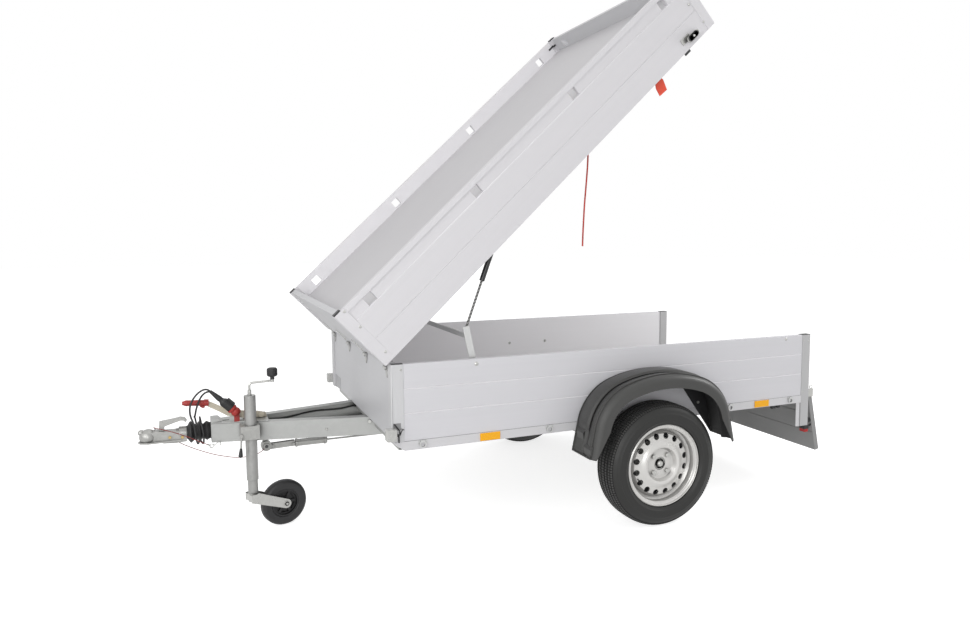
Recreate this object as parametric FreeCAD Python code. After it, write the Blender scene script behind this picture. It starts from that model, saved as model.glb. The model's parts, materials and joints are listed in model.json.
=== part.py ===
import FreeCAD, Part
import math
import os

V = FreeCAD.Vector

# Single-axle box trailer with a tipping lid. Millimetres and degrees.
# +X runs forward to the coupling, +Y to the left, +Z up.
# It is drawn with zero on the ground under the wheels' axis, and leaves with its origin
# on the ground under the middle of its length.

# Load body
BODY_WIDTH = 1320.0
BODY_FRONT = 1160.0
BODY_REAR = -985.0
SIDE_TOP = 779.0
RAIL_TOP = 470.0
RAIL_HEIGHT = 37.0
RAIL_DEPTH = 40.0
RAIL_WALL = 3.0
RAIL_NOSE = 50.0
EYE_XS = (1037.0, 478.0, -487.0, -863.0)
EYE_RADIUS = 15.0
EYE_BORE = 9.0
EYE_THICKNESS = 6.0
REFLECTOR_XS = (750.0, -680.0)
REFLECTOR_HALF = 44.0
MEMBER_X = 620.0
REAR_MEMBER_X = -400.0
WALL = 25.0
PANEL_INSET = 2.0
PLANK_HEIGHT = 99.0
GROOVE = 2.5
POST_LENGTH = 50.0
POST_DEPTH = 32.0
POST_ROUND = 6.0
CAP_HEIGHT = 2.0
NOTCH_DEPTH = 12.0
REAR_POST_FOOT = 311.0
FLOOR_THICKNESS = 12.0
FLOOR_LIFT = 4.0
FRONT_WALL_INSET = 7.0
MARKER_HEIGHT = 48.0
MARKER_RAISE = 12.0
REAR_LAMP_HEIGHT = 36.0

# Drawbar
BEAM_HEIGHT = 80.0
BEAM_FLANGE = 45.0
BEAM_WALL = 3.0
DRAWBAR_REACH = 630.0
BEAM_TIP_Y = 42.0
BEAM_SLOPE = 0.2466
BEAM_END_X = 150.0
HOUSING_LENGTH = 230.0
MEMBER_WIDTH = 40.0
TUBE_Z = 440.0
DRAW_TUBE_RADIUS = 22.0
BALL_RADIUS = 25.0
BELLOWS_LENGTH = 95.0
COUPLING_LENGTH = 147.0

# Axle and wheels
WHEEL_OFFSET = 103.0
TYRE_RADIUS = 274.0
TYRE_WIDTH = 155.0
RIM_RADIUS = 182.5
BEAD_RADIUS = 165.0
RIM_HALF = 69.0
VENT_RING = 127.0
VENT_RADIUS = 13.5
VENT_COUNT = 16
BOLT_CIRCLE = 100.0
BOLT_HOLE = 6.5
BOLT_COUNT = 4
HUB_BORE = 28.5
BOLT_SHANK = 6.0
BOLT_HEAD = 10.0
DISC_FACE = 29.0
DRUM_RADIUS = 115.0
DRUM_BACK = 61.0
STUB_RADIUS = 17.0
AXLE_X = 125.0
AXLE_Z = 340.0
AXLE_TUBE = 60.0
ARM_THICKNESS = 40.0
ARM_GAP = 62.0
RUN_GAP = 0.1

# Mudguards
GUARD_X = -5.0
GUARD_FOOT_Z = 347.0
GUARD_TOP_Z = 680.0
GUARD_FOOT_HALF = 374.0
GUARD_LEAN = 12.0
GUARD_SHOULDER = 235.0
GUARD_WIDTH = 190.0
GUARD_SKIN = 4.0
GUARD_GROOVE = 12.0
GUARD_LIP = 60.0
GUARD_LIP_FOOT = 20.0
GUARD_LEG = 130.0

# Lid, described shut and then swung open about its hinge pins
LID_ANGLE = 43.7
HINGE_Z = 757.0
HINGE_RADIUS = 6.0
HINGE_INSET = 85.0
HINGE_INNER = 190.0
HINGE_HALF = 25.0
LID_LENGTH = 2118.0
LID_HEIGHT = 275.0
LID_GAP = 4.0
LID_SHEET_TOP = 202.0
LID_SHEET = 4.0
LID_BAND = 206.0
LID_RIM = 253.0
LID_BAND_INSET = 4.0
SLOT_LENGTH = 42.0
SLOT_HEIGHT = 40.0
SLOT_FIRST = 144.0
SLOT_LAST = 171.0
SLOT_COUNT = 4
END_SLOT_INSET = 155.0
LOCK_FROM_REAR = 140.0
TAB_FROM_REAR = 402.0
CORD_FROM_REAR = 813.0
CORD_RAISE = 39.7

# Gas struts and their bow
STRUT_INSET = 60.0
BOW_X = 832.0
BOW_TOP = 893.0
BOW_FOOT_X = 805.0
BOW_FOOT_Z = 760.0
BOW_BAR = 28.0
BOW_PLATE = 6.0
MOUNT_BACK = 763.0
MOUNT_UP = 58.0
STRUT_TUBE = 11.0
STRUT_ROD = 5.0
ROD_SHOWN = 213.0
ROD_TUCK = 30.0

# Tailgate
GATE_HINGE_X = -1003.0
GATE_HINGE_Z = 472.0
GATE_THICKNESS = 25.0
GATE_SIDE_GAP = 12.0
GATE_ANGLE = 168.3
GATE_PIN = 6.0
GATE_SEAT = 14.0
STOP_Z = 330.0
STOP_RADIUS = 11.0

# Jockey wheel
JOCKEY_BACK = 154.0
JOCKEY_STANDOFF = 31.0
JOCKEY_TUBE = 24.0
JOCKEY_TOP = 596.0
JOCKEY_TUBE_END = 231.0
JOCKEY_INNER = 20.5
JOCKEY_RADIUS = 100.0
JOCKEY_WIDTH = 50.0
JOCKEY_TRAIL = 133.0
JOCKEY_SWIVEL = 17.0
JOCKEY_WEB = 2.0
KNOB_RADIUS = 22.0
KNOB_STEM = 9.0
KNOB_RAISE = 62.0
CRANK_REACH = 94.0
CLAMP_BOTTOM = 412.0
HANDBRAKE_Y = 25.0
CLAMP_TOP = 471.0

# Plug, cables and cords
PLUG_Y = 62.0
PLUG_RADIUS = 19.0
PLUG_LENGTH = 121.5
PLUG_SLOPE = 45.0
SOCKET_DEPTH = 32.0
CABLE_RADIUS = 3.8
WIRE_RADIUS = 3.5
BREAKAWAY_RADIUS = 1.6
PULL_CORD_RADIUS = 3.5
HOUSING_PLATE = 6.0
CLEAR = 5.0
SLOT_BACK = 61.0
CABLE_SEAT = (-106.0, 36.0)
SEAT_GAP = 0.3

HALF = BODY_WIDTH / 2
RAIL_BOTTOM = RAIL_TOP - RAIL_HEIGHT
FLOOR_BOTTOM = RAIL_TOP + FLOOR_LIFT
FLOOR_TOP = FLOOR_BOTTOM + FLOOR_THICKNESS
PANEL_OUT = HALF - PANEL_INSET
PANEL_IN = PANEL_OUT - WALL
WALL_FRONT = BODY_FRONT - FRONT_WALL_INSET
WALL_BACK = WALL_FRONT - WALL
POST_REAR = BODY_REAR + POST_LENGTH
BEAM_TOP = FLOOR_BOTTOM
BEAM_BOTTOM = BEAM_TOP - BEAM_HEIGHT
WHEEL_Y = HALF + WHEEL_OFFSET
AXLE_HALF = WHEEL_Y - DRUM_BACK - ARM_GAP - ARM_THICKNESS
BEAM_TIP_X = BODY_FRONT + DRAWBAR_REACH
HOUSING_REAR = BEAM_TIP_X - HOUSING_LENGTH
COUPLING_REAR_X = BEAM_TIP_X + BELLOWS_LENGTH
COUPLING_X = COUPLING_REAR_X + COUPLING_LENGTH
HINGE_X = BODY_FRONT
HINGE_YS = (HINGE_INSET - HALF, -HINGE_INNER, HINGE_INNER, HALF - HINGE_INSET)
LID_BOTTOM = SIDE_TOP + LID_GAP
LID_REAR = BODY_FRONT - LID_LENGTH
SLOT_PITCH = (LID_LENGTH - SLOT_FIRST - SLOT_LAST) / (SLOT_COUNT - 1)
STRUT_Y = HALF - STRUT_INSET
JOCKEY_X = BEAM_TIP_X - JOCKEY_BACK
JOCKEY_Y = BEAM_TIP_Y + BEAM_SLOPE * JOCKEY_BACK + JOCKEY_STANDOFF
HOUSING_TOP = BEAM_TOP + HOUSING_PLATE
HOUSING_BOTTOM = TUBE_Z - 34
COUPLING_NOSE = COUPLING_X + 39
GATE_HANG = math.radians(180 - GATE_ANGLE)
GATE_REACH = (GATE_THICKNESS / 2) * math.cos(GATE_HANG) + (SIDE_TOP - GATE_HINGE_Z) * math.sin(GATE_HANG)
MIDDLE_X = round((GATE_HINGE_X - GATE_REACH + COUPLING_NOSE) / 2, 1)

# Routes of the cables and cords, by hand. The first three count from the beams' tips, on the centre line
# at the top of the housing plate, the last from the cord's eye on the open lid.
PLUG_CABLE_ROUTE = [
    (-1.7, 62, 141.6), (5.2, 62, 148.5), (18, 61, 151), (32, 60, 146.5), (46, 60, 136), (58, 60, 123),
    (68, 60, 108), (76, 60, 91), (79.5, 60, 72), (79.4, 59.5, 52), (76, 58, 32), (68, 57, 12), (63, 55, -17),
    (60, 54, -48), (57, 42, -77), (53, 15, -93), (49, -16, -94), (45, -43, -77), (42, -57, -48),
    (41, -55, -17), (41, -38, 8), (42, -10, 21), (41, 18, 20), (38, 42, 4), (33, 54, -22), (30, 54, -50),
    (30, 41, -77), (32, 14, -94), (37, -20, -98), (45, -52, -83), (52, -68, -48), (57, -62, -14),
    (60, -42, 10), (62, -16, 23), (63, 10, 25), (62, 30, 29), (59, 42, 42), (56, 46, 60), (50, 46, 81),
    (42, 46, 102), (32, 46, 120), (19.5, 45.5, 132.5), (4, 44, 137.5), (-10.5, 41, 132.5), (-22, 38, 120),
    (-33, 36, 102), (-55, 33, 80), (-78, 33, 60), (-94, 36, 38), (-102, 36, 21), (-106, 36, 7.5),
    (-106, 36, -6)]
BREAKAWAY_ROUTE = [
    (-222, 27.7, -134), (-206, 31, -149), (-179, 28, -164), (-140, 22, -172), (-96, 16, -171),
    (-52, 8, -162), (-8, 0, -150), (34, -10, -134), (72, -20, -118), (108, -30, -100), (142, -38, -80),
    (172, -44, -62), (198, -43, -40), (216, -30, -18), (222, -5, -6), (213, 20, -4), (191, 34, -9),
    (160, 44, -18), (124, 60, -30), (90, 72, -44), (60, 76, -60), (36, 73, -75), (16, 62, -88)]
LAMP_CABLE_ROUTE = [
    (-184, -38.9, -34), (-184, -52, -34), (-193, -66, -35), (-212, -77, -37), (-240, -86, -40),
    (-274, -97, -43), (-312, -111, -45), (-356, -122.9, -42), (-402, -134.2, -36), (-449, -145.8, -33),
    (-498, -157.9, -35), (-544, -169.3, -39), (-586, -179.6, -41), (-620, -188, -38), (-645, -191, -35),
    (-662, -191, -35)]
PULL_CORD_ROUTE = [
    (0, 0, 0), (0, -15, 0), (1, -27, -12), (2, -32, -32), (2, -33, -66), (4, -32, -116), (8, -33, -176),
    (14, -32, -236), (19, -33, -296), (23, -32, -358), (26, -33, -418), (28, -32, -474)]


def block(x0, x1, y0, y1, z0, z1):
    return Part.makeBox(x1 - x0, y1 - y0, z1 - z0, V(x0, y0, z0))


def rod(p, q, r):
    d = q.sub(p)
    return Part.makeCylinder(r, d.Length, p, d)


def pipe(p, q, r, bore):
    return rod(p, q, r).cut(rod(p, q, bore))


def prism(points, along):
    wire = Part.makePolygon([V(*p) for p in points + [points[0]]])
    return Part.Face(wire).extrude(along)


def spun(profile, centre):
    """Solid of revolution about the Y line through centre, from (radius, y) points."""
    pts = [V(centre.x, centre.y + y, centre.z + r) for r, y in profile]
    face = Part.Face(Part.makePolygon(pts + [pts[0]]))
    return face.revolve(centre, V(0, 1, 0), 360)


def mirrored(shape):
    return shape.mirror(V(0, 0, 0), V(0, 1, 0))


def pair(shape):
    return Part.makeCompound([shape, mirrored(shape)])


def fused(shapes):
    return shapes[0].multiFuse(shapes[1:]).removeSplitter()


def turned(shape, centre, axis, angle):
    copy = shape.copy()
    copy.rotate(centre, axis, angle)
    return copy


def opened(shape):
    """A lid piece swung from shut to its open place."""
    return turned(shape, V(HINGE_X, 0, HINGE_Z), V(0, 1, 0), LID_ANGLE)


def lowered(shape):
    """A tailgate piece swung from shut to where it hangs."""
    return turned(shape, V(GATE_HINGE_X, 0, GATE_HINGE_Z), V(0, 1, 0), -GATE_ANGLE)


def tip(x, y, z):
    """Point counted from the drawbar's tip, on the housing plate's top."""
    return V(BEAM_TIP_X + x, y, HOUSING_TOP + z)


def tangent_tube(pts, radius):
    """Round tube along straight runs joined by tangent arcs."""
    edges, start, radii = [], pts[0], []
    for a, b, c in zip(pts, pts[1:], pts[2:]):
        u, w = a.sub(b).normalize(), c.sub(b).normalize()
        turn = math.pi - u.getAngle(w)
        reach = 0.45 * min(a.distanceToPoint(b), c.distanceToPoint(b))
        radii.append(reach / math.tan(turn / 2))
        into, out = b + u * reach, b + w * reach
        bisector = (u + w).normalize()
        middle = b + bisector * (radii[-1] / math.cos(turn / 2) - radii[-1])
        edges.append(Part.LineSegment(start, into).toShape())
        edges.append(Part.Arc(into, middle, out).toShape())
        start = out
    edges.append(Part.LineSegment(start, pts[-1]).toShape())
    path = Part.Wire(edges)
    section = Part.Wire(Part.makeCircle(radius, pts[0], pts[1].sub(pts[0])))
    tube = path.makePipeShell([section], True, False)
    print("cord radii", [round(r, 1) for r in radii], "volume ratio",
          round(tube.Volume / (math.pi * radius ** 2 * path.Length), 4))
    return tube


# Chassis

def beam_y(x):
    """Outer face of the left drawbar beam."""
    return BEAM_TIP_Y + BEAM_SLOPE * (BEAM_TIP_X - x)


def across(width):
    """A beam's own width, measured square to the trailer."""
    return width * math.sqrt(1 + BEAM_SLOPE ** 2)


def beam():
    """Left drawbar beam: a channel with its web outside."""
    length = BEAM_TIP_X - BEAM_END_X
    y0, z0, z1 = -BEAM_FLANGE, BEAM_BOTTOM, BEAM_TOP
    outline = [(0, 0, z0), (0, 0, z1), (0, y0, z1), (0, y0, z1 - BEAM_WALL),
               (0, -BEAM_WALL, z1 - BEAM_WALL), (0, -BEAM_WALL, z0 + BEAM_WALL),
               (0, y0, z0 + BEAM_WALL), (0, y0, z0)]
    lean = math.degrees(math.atan(BEAM_SLOPE))
    run = length / math.cos(math.radians(lean))
    solid = prism(outline, V(-run - 30, 0, 0))
    solid.translate(V(15, 0, 0))
    solid.rotate(V(0, 0, 0), V(0, 0, 1), -lean)
    solid.translate(V(BEAM_TIP_X, BEAM_TIP_Y, 0))
    keep = block(BEAM_END_X, BEAM_TIP_X, 0, HALF, BEAM_BOTTOM - 1, BEAM_TOP + 1)
    return solid.common(keep)


def member(x, y0, y1, z0, z1):
    """Cross-member: a channel open to the rear."""
    solid = block(x, x + MEMBER_WIDTH, y0, y1, z0, z1)
    return solid.cut(block(x - 1, x + MEMBER_WIDTH - RAIL_WALL, y0 - 1, y1 + 1,
                           z0 + RAIL_WALL, z1 - RAIL_WALL))


def drawbar():
    beams = [beam(), mirrored(beam())]
    inner = []
    for x in (WALL_BACK - MEMBER_WIDTH, MEMBER_X, BEAM_END_X):
        y = beam_y(x + MEMBER_WIDTH) - BEAM_WALL
        inner.append(member(x, -y, y, RAIL_BOTTOM, BEAM_TOP - BEAM_WALL))
    return fused(beams + inner)


def body_frame():
    nose = [(POST_REAR, HALF, RAIL_BOTTOM), (BODY_FRONT - RAIL_NOSE, HALF, RAIL_BOTTOM),
            (BODY_FRONT, HALF, RAIL_TOP), (POST_REAR, HALF, RAIL_TOP)]
    rail = prism(nose, V(0, -RAIL_DEPTH, 0))
    rail = rail.cut(block(POST_REAR - 1, BODY_FRONT + 1, HALF - RAIL_DEPTH - 1, HALF - RAIL_WALL,
                          RAIL_BOTTOM + RAIL_WALL, RAIL_TOP - RAIL_WALL))
    parts = [rail, mirrored(rail)]
    side = HALF - RAIL_DEPTH / 2
    for x in (WALL_BACK - MEMBER_WIDTH, MEMBER_X, BEAM_END_X):
        y = beam_y(x)
        arm = member(x, y, side, RAIL_BOTTOM, BEAM_TOP)
        arm = arm.cut(block(x - 1, x + MEMBER_WIDTH + 1, HALF - RAIL_DEPTH, HALF, RAIL_TOP, BEAM_TOP + 1))
        parts += [arm, mirrored(arm)]
    inner = HALF - RAIL_DEPTH
    middle_bar = member(REAR_MEMBER_X, -side, side, RAIL_BOTTOM, RAIL_TOP)
    rear_bar = member(POST_REAR - MEMBER_WIDTH, -HALF + POST_DEPTH, HALF - POST_DEPTH, RAIL_BOTTOM, RAIL_TOP)
    parts += [middle_bar, rear_bar]
    for x in (REAR_MEMBER_X, POST_REAR - MEMBER_WIDTH):
        parts.append(block(x, x + MEMBER_WIDTH, -inner, inner, RAIL_TOP, FLOOR_BOTTOM))
    strip = block(POST_REAR + 5, POST_REAR + 27, HALF - 6, HALF - 3, REAR_POST_FOOT, RAIL_BOTTOM + 1)
    parts += [strip, mirrored(strip)]
    return fused(parts)


def floor():
    between_posts = block(BODY_REAR, POST_REAR, -HALF + POST_DEPTH, HALF - POST_DEPTH, FLOOR_BOTTOM, FLOOR_TOP)
    return fused([between_posts, block(POST_REAR, WALL_BACK, -PANEL_IN, PANEL_IN, FLOOR_BOTTOM, FLOOR_TOP)])


def side_walls():
    """Planks stacked on the rails, with a fine groove outside where two meet."""
    x0, x1 = POST_REAR, BODY_FRONT - POST_LENGTH
    wall = block(x0, x1, PANEL_IN, PANEL_OUT, RAIL_TOP, SIDE_TOP)
    for i in (1, 2):
        z = SIDE_TOP - i * PLANK_HEIGHT
        wall = wall.cut(block(x0 - 1, x1 + 1, PANEL_OUT - GROOVE, PANEL_OUT + 1, z - GROOVE / 2, z + GROOVE / 2))
    return pair(wall)


def front_wall():
    y = HALF - POST_LENGTH
    return block(WALL_BACK, WALL_FRONT, -y, y, BEAM_TOP, SIDE_TOP)


def corner_posts():
    front = block(BODY_FRONT - POST_LENGTH, BODY_FRONT, HALF - POST_LENGTH, HALF, RAIL_TOP, SIDE_TOP)
    front = front.cut(block(BODY_FRONT - POST_LENGTH - 1, WALL_BACK, HALF - POST_LENGTH - 1,
                            PANEL_IN, RAIL_TOP - 1, SIDE_TOP + 1))
    corner = [e for e in front.Edges if e.Length > SIDE_TOP - RAIL_TOP - 1
              and abs(e.CenterOfMass.x - BODY_FRONT) < 0.1 and abs(e.CenterOfMass.y - HALF) < 0.1]
    front = front.makeFillet(POST_ROUND, corner)
    notch_z = RAIL_TOP + POST_LENGTH
    notch = prism([(BODY_FRONT - 42, HALF + 1, notch_z), (BODY_FRONT - 6, HALF + 1, notch_z),
                   (BODY_FRONT - 24, HALF + 1, notch_z + 28)], V(0, -NOTCH_DEPTH - 1, 0))
    front = front.cut(notch)
    rear = block(BODY_REAR, POST_REAR, HALF - POST_DEPTH, HALF, REAR_POST_FOOT, SIDE_TOP)
    rear = rear.cut(block(BODY_REAR - 1, POST_REAR + 1, HALF - RAIL_DEPTH - 1, HALF - POST_DEPTH,
                          0, SIDE_TOP))
    return Part.makeCompound([front, mirrored(front), rear, mirrored(rear)])


def post_caps():
    front = block(BODY_FRONT - POST_LENGTH, BODY_FRONT - POST_ROUND, PANEL_IN, HALF - 1,
                  SIDE_TOP, SIDE_TOP + CAP_HEIGHT)
    rear = block(BODY_REAR, POST_REAR, HALF - POST_DEPTH, HALF, SIDE_TOP, SIDE_TOP + CAP_HEIGHT)
    return Part.makeCompound([front, mirrored(front), rear, mirrored(rear)])


def tie_downs():
    """Folding lashing eyes on the side rails."""
    eyes = []
    z = RAIL_TOP - RAIL_HEIGHT / 2
    for x in EYE_XS:
        plate = block(x - 17, x + 17, HALF, HALF + 3, z + 4, z + EYE_RADIUS + 3)
        ring = pipe(V(x, HALF + 1, z), V(x, HALF + 1 + EYE_THICKNESS, z), EYE_RADIUS, EYE_BORE)
        neck = block(x - 8, x + 8, HALF, HALF + 1 + EYE_THICKNESS, z + EYE_BORE + 1, z + EYE_RADIUS + 3)
        mouth = rod(V(x, HALF - 1, z), V(x, HALF + 20, z), EYE_BORE)
        eyes.append(fused([plate, ring, neck]).cut(mouth))
    return Part.makeCompound(eyes + [mirrored(e) for e in eyes])


def reflectors():
    lenses = []
    for x in REFLECTOR_XS:
        lenses.append(block(x - REFLECTOR_HALF, x + REFLECTOR_HALF, HALF, HALF + 4, RAIL_BOTTOM + 3, RAIL_TOP - 2))
    return Part.makeCompound(lenses + [mirrored(e) for e in lenses])


def marker_lamps():
    """Side lamps at the front corners, each with its rubber base and lead."""
    z0, z1 = RAIL_TOP + MARKER_RAISE, RAIL_TOP + MARKER_RAISE + MARKER_HEIGHT
    lens = block(BODY_FRONT, BODY_FRONT + 28, HALF - 4, HALF + 30, z0, z1)
    lens = lens.makeFillet(8, [e for e in lens.Edges if abs(e.CenterOfMass.x - BODY_FRONT - 28) < 0.1])
    base = block(BODY_FRONT - 14, BODY_FRONT, HALF, HALF + 30, z0 + 2, z1 - 2)
    lead_x, lead_z = BODY_FRONT - 26, z0 + 18
    lead = rod(V(lead_x, HALF + 8, lead_z), V(BODY_FRONT - 13, HALF + 8, lead_z), 5)
    drop = rod(V(lead_x, HALF + 8, lead_z + 3), V(lead_x, HALF + 8, RAIL_TOP), 3)
    return pair(fused([lens, base, lead, drop]))


def rear_lamps():
    """Small lamps under the feet of the rear posts."""
    x, z = BODY_REAR - 12, REAR_POST_FOOT
    lamp = block(x, x + 28, HALF - 40, HALF - 5, z - REAR_LAMP_HEIGHT, z)
    lamp = lamp.makeFillet(5, [e for e in lamp.Edges if abs(e.CenterOfMass.x - x) < 0.1])
    return pair(lamp)


# Running gear

def axle_beam():
    h = AXLE_TUBE / 2
    tube = block(AXLE_X - h, AXLE_X + h, -AXLE_HALF, AXLE_HALF, AXLE_Z - h, AXLE_Z + h)
    tube = tube.makeFillet(8, [e for e in tube.Edges if e.Length > AXLE_HALF])
    y = beam_y(BEAM_END_X) - 20
    bracket = block(AXLE_X - 70, AXLE_X + 80, y - 4, y + 4, AXLE_Z - h + 8, BEAM_BOTTOM)
    pad = block(AXLE_X - 70, AXLE_X + 80, y - 22, y + 22, BEAM_BOTTOM - 6, BEAM_BOTTOM)
    foot = block(BEAM_END_X - 90, BEAM_END_X, y - 22, y + 22, BEAM_BOTTOM - 6, BEAM_BOTTOM)
    return fused([tube, bracket, mirrored(bracket), pad, mirrored(pad), foot, mirrored(foot)])


def swing_arms():
    y0, y1 = AXLE_HALF, AXLE_HALF + ARM_THICKNESS
    a, b = V(AXLE_X, y0, AXLE_Z), V(0, y0, TYRE_RADIUS)
    lift = V(0, ARM_THICKNESS, 0)
    big, small = rod(a, a + lift, 38), rod(b, b + lift, 32)
    d = b.sub(a).normalize()
    n = V(-d.z, 0, d.x)
    web = prism([tuple(a + n * 34), tuple(b + n * 28), tuple(b - n * 28), tuple(a - n * 34)], lift)
    stub = rod(V(0, y1, TYRE_RADIUS), V(0, WHEEL_Y + 4, TYRE_RADIUS), STUB_RADIUS)
    boss = rod(V(0, y1, TYRE_RADIUS), V(0, WHEEL_Y - 68, TYRE_RADIUS), 30)
    plate = rod(V(0, WHEEL_Y - 68, TYRE_RADIUS), V(0, WHEEL_Y - 64, TYRE_RADIUS), DRUM_RADIUS - 3)
    return pair(fused([big, small, web, boss, plate, stub]))


def bolt_places(y):
    """Centres of the wheel bolts, y out from the wheel's middle."""
    r = BOLT_CIRCLE / 2
    angles = [2 * math.pi * (i + 0.5) / BOLT_COUNT for i in range(BOLT_COUNT)]
    return [V(r * math.cos(a), WHEEL_Y + y, TYRE_RADIUS + r * math.sin(a)) for a in angles]


def wheel_bolt(p):
    """Bolt through the rim into the hub, with a hexagon head on the disc."""
    corners = [i * math.pi / 3 for i in range(6)]
    head = prism([(p.x + BOLT_HEAD * math.cos(a), p.y, p.z + BOLT_HEAD * math.sin(a)) for a in corners],
                 V(0, 11, 0))
    return fused([rod(p - V(0, 6, 0), p, BOLT_SHANK), head])


def hub():
    """Brake drum, bearing case with an open recess round its nut, and the wheel bolts."""
    centre = V(0, WHEEL_Y, TYRE_RADIUS)
    r, back = DRUM_RADIUS, -DRUM_BACK
    drum = spun([(0, 40), (9, 40), (13, 36), (15, 30), (15, 12), (23, 12), (23, 27), (26.5, 27), (26.5, 24),
                 (68, 24), (68, 12), (100, 5), (r, 5), (r, back + 3), (r + 4, back + 3), (r + 4, back),
                 (r - 8, back), (r - 8, -3), (40, -3), (40, -50), (0, -50)], centre)
    bore = rod(V(0, WHEEL_Y - 51, TYRE_RADIUS), V(0, WHEEL_Y + 8, TYRE_RADIUS), STUB_RADIUS + RUN_GAP)
    return fused([drum.cut(bore)] + [wheel_bolt(p) for p in bolt_places(DISC_FACE)])


def rim():
    centre = V(0, WHEEL_Y, TYRE_RADIUS)
    t = 3.5
    bead, flange, well = BEAD_RADIUS, RIM_RADIUS, BEAD_RADIUS - 16
    outer = [(flange - 4, -RIM_HALF), (flange, -RIM_HALF + 3), (flange - 2, -RIM_HALF + 9), (bead + 2, -RIM_HALF + 12),
             (bead, -RIM_HALF + 30), (bead, -20), (well, -8), (well, 14), (bead, 26), (bead, RIM_HALF - 30),
             (bead + 2, RIM_HALF - 12), (flange - 2, RIM_HALF - 9), (flange, RIM_HALF - 3), (flange - 4, RIM_HALF)]
    inner = [(flange - 6, RIM_HALF - 1), (flange - 6, RIM_HALF - 8), (bead - 1, RIM_HALF - 12 - t),
             (bead - t, RIM_HALF - 30), (bead - t, 28), (well - t, 16), (well - t, -10), (bead - t, -22),
             (bead - t, -RIM_HALF + 30), (bead - 1, -RIM_HALF + 12 + t), (flange - 6, -RIM_HALF + 8),
             (flange - 6, -RIM_HALF + 1)]
    barrel = spun(outer + inner, centre)
    disc = spun([(HUB_BORE, 24), (60, 24), (66, 27), (76, 44), (86, 48), (96, 44), (108, 37), (136, 31),
                 (well - 1, 16), (well - 1, 12), (135, 26), (107, 32), (94, 39), (86, 43), (79, 40),
                 (70, 22), (62, 19), (HUB_BORE, 19)], centre)
    disc.translate(V(0, 5, 0))
    wheel = fused([barrel, disc])
    cuts = []
    for i in range(VENT_COUNT):
        a = 2 * math.pi * (i + 0.5) / VENT_COUNT
        p = V(VENT_RING * math.cos(a), WHEEL_Y, TYRE_RADIUS + VENT_RING * math.sin(a))
        cuts.append(rod(p, p + V(0, 60, 0), VENT_RADIUS))
    cuts += [rod(p, p + V(0, 60, 0), BOLT_HOLE) for p in bolt_places(0)]
    return wheel.cut(cuts)


def tyre():
    centre = V(0, WHEEL_Y, TYRE_RADIUS)
    R, b, w = TYRE_RADIUS, BEAD_RADIUS + 2.3, TYRE_WIDTH / 2
    f = RIM_HALF - 13.0
    outer = [(b, -f), (RIM_RADIUS + 1.5, -f - 2), (RIM_RADIUS + 3, -RIM_HALF + 1), (R - 70, -w + 2), (R - 52, -w),
             (R - 32, -w + 3), (R - 12, -w + 13), (R - 3, -w + 24), (R, -w + 42),
             (R, w - 42), (R - 3, w - 24), (R - 12, w - 13), (R - 32, w - 3), (R - 52, w),
             (R - 70, w - 2), (RIM_RADIUS + 3, RIM_HALF - 1), (RIM_RADIUS + 1.5, f + 2), (b, f)]
    inner = [(b, f - 14), (R - 82, w - 16), (R - 52, w - 8), (R - 22, w - 20), (R - 14, w - 44),
             (R - 14, -w + 44), (R - 22, -w + 20), (R - 52, -w + 8), (R - 82, -w + 16), (b, -f + 14)]
    return spun(outer + inner, centre)


def mudguard():
    """Moulded guard: one skin swept over a flattened arch, with a groove and an outer rib."""
    lean = math.radians(GUARD_LEAN)
    shoulder = GUARD_SHOULDER
    foot = V(GUARD_X + GUARD_FOOT_HALF, 0, GUARD_FOOT_Z)
    up = V(-math.sin(lean), 0, math.cos(lean))
    inward = V(-math.cos(lean), 0, -math.sin(lean))
    start = foot + up * GUARD_LEG
    centre = start + inward * shoulder
    dx, k = centre.x - GUARD_X, shoulder + centre.z - GUARD_TOP_Z
    crown = shoulder - (dx ** 2 + k ** 2) / (2 * k)
    hub_point = V(GUARD_X, 0, GUARD_TOP_Z - crown)
    join = hub_point + centre.sub(hub_point).normalize() * crown

    def arc(c, p, q):
        m = p.sub(c).normalize() + q.sub(c).normalize()
        return Part.Arc(p, c + m.normalize() * p.distanceToPoint(c), q).toShape()

    def flip(p):
        return V(2 * GUARD_X - p.x, p.y, p.z)

    edges = [Part.LineSegment(foot, start).toShape(), arc(centre, start, join),
             arc(hub_point, join, flip(join)), arc(flip(centre), flip(join), flip(start)),
             Part.LineSegment(flip(start), flip(foot)).toShape()]
    path = Part.Wire(edges)
    w, s, g = GUARD_WIDTH, GUARD_SKIN, GUARD_GROOVE
    skin = [(0, 0), (85, 0), (95, -g), (105, -g), (118, -2), (150, 2), (172, -4), (184, -16),
            (w - 2, -30), (w, -GUARD_LIP), (w - s, -GUARD_LIP), (w - s - 4, -32), (180, -20), (169, -8),
            (149, -2), (121, -6), (106, -g - s), (93, -g - s), (83, -s), (0, -s)]
    outward = V(math.cos(lean), 0, math.sin(lean))
    pts = [foot + V(0, HALF + y, 0) + outward * r for y, r in skin]
    section = Part.Wire(Part.makePolygon(pts + [pts[0]]))
    shell = Part.BRepOffsetAPI.MakePipeShell(path)
    shell.setBiNormalMode(V(0, 1, 0))
    shell.add(section)
    shell.build()
    shell.makeSolid()
    below = foot - up * 4
    edge = [below + inward * GUARD_LIP_FOOT, start + inward * (GUARD_LIP + 1), below + inward * (GUARD_LIP + 9)]
    wedge = prism([(p.x, HALF + w - 12, p.z) for p in edge], V(0, 14, 0))
    return Part.Solid(shell.shape()).cut([wedge, wedge.mirror(V(GUARD_X, 0, 0), V(1, 0, 0))]).Solids[0]


# Coupling and brake

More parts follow.
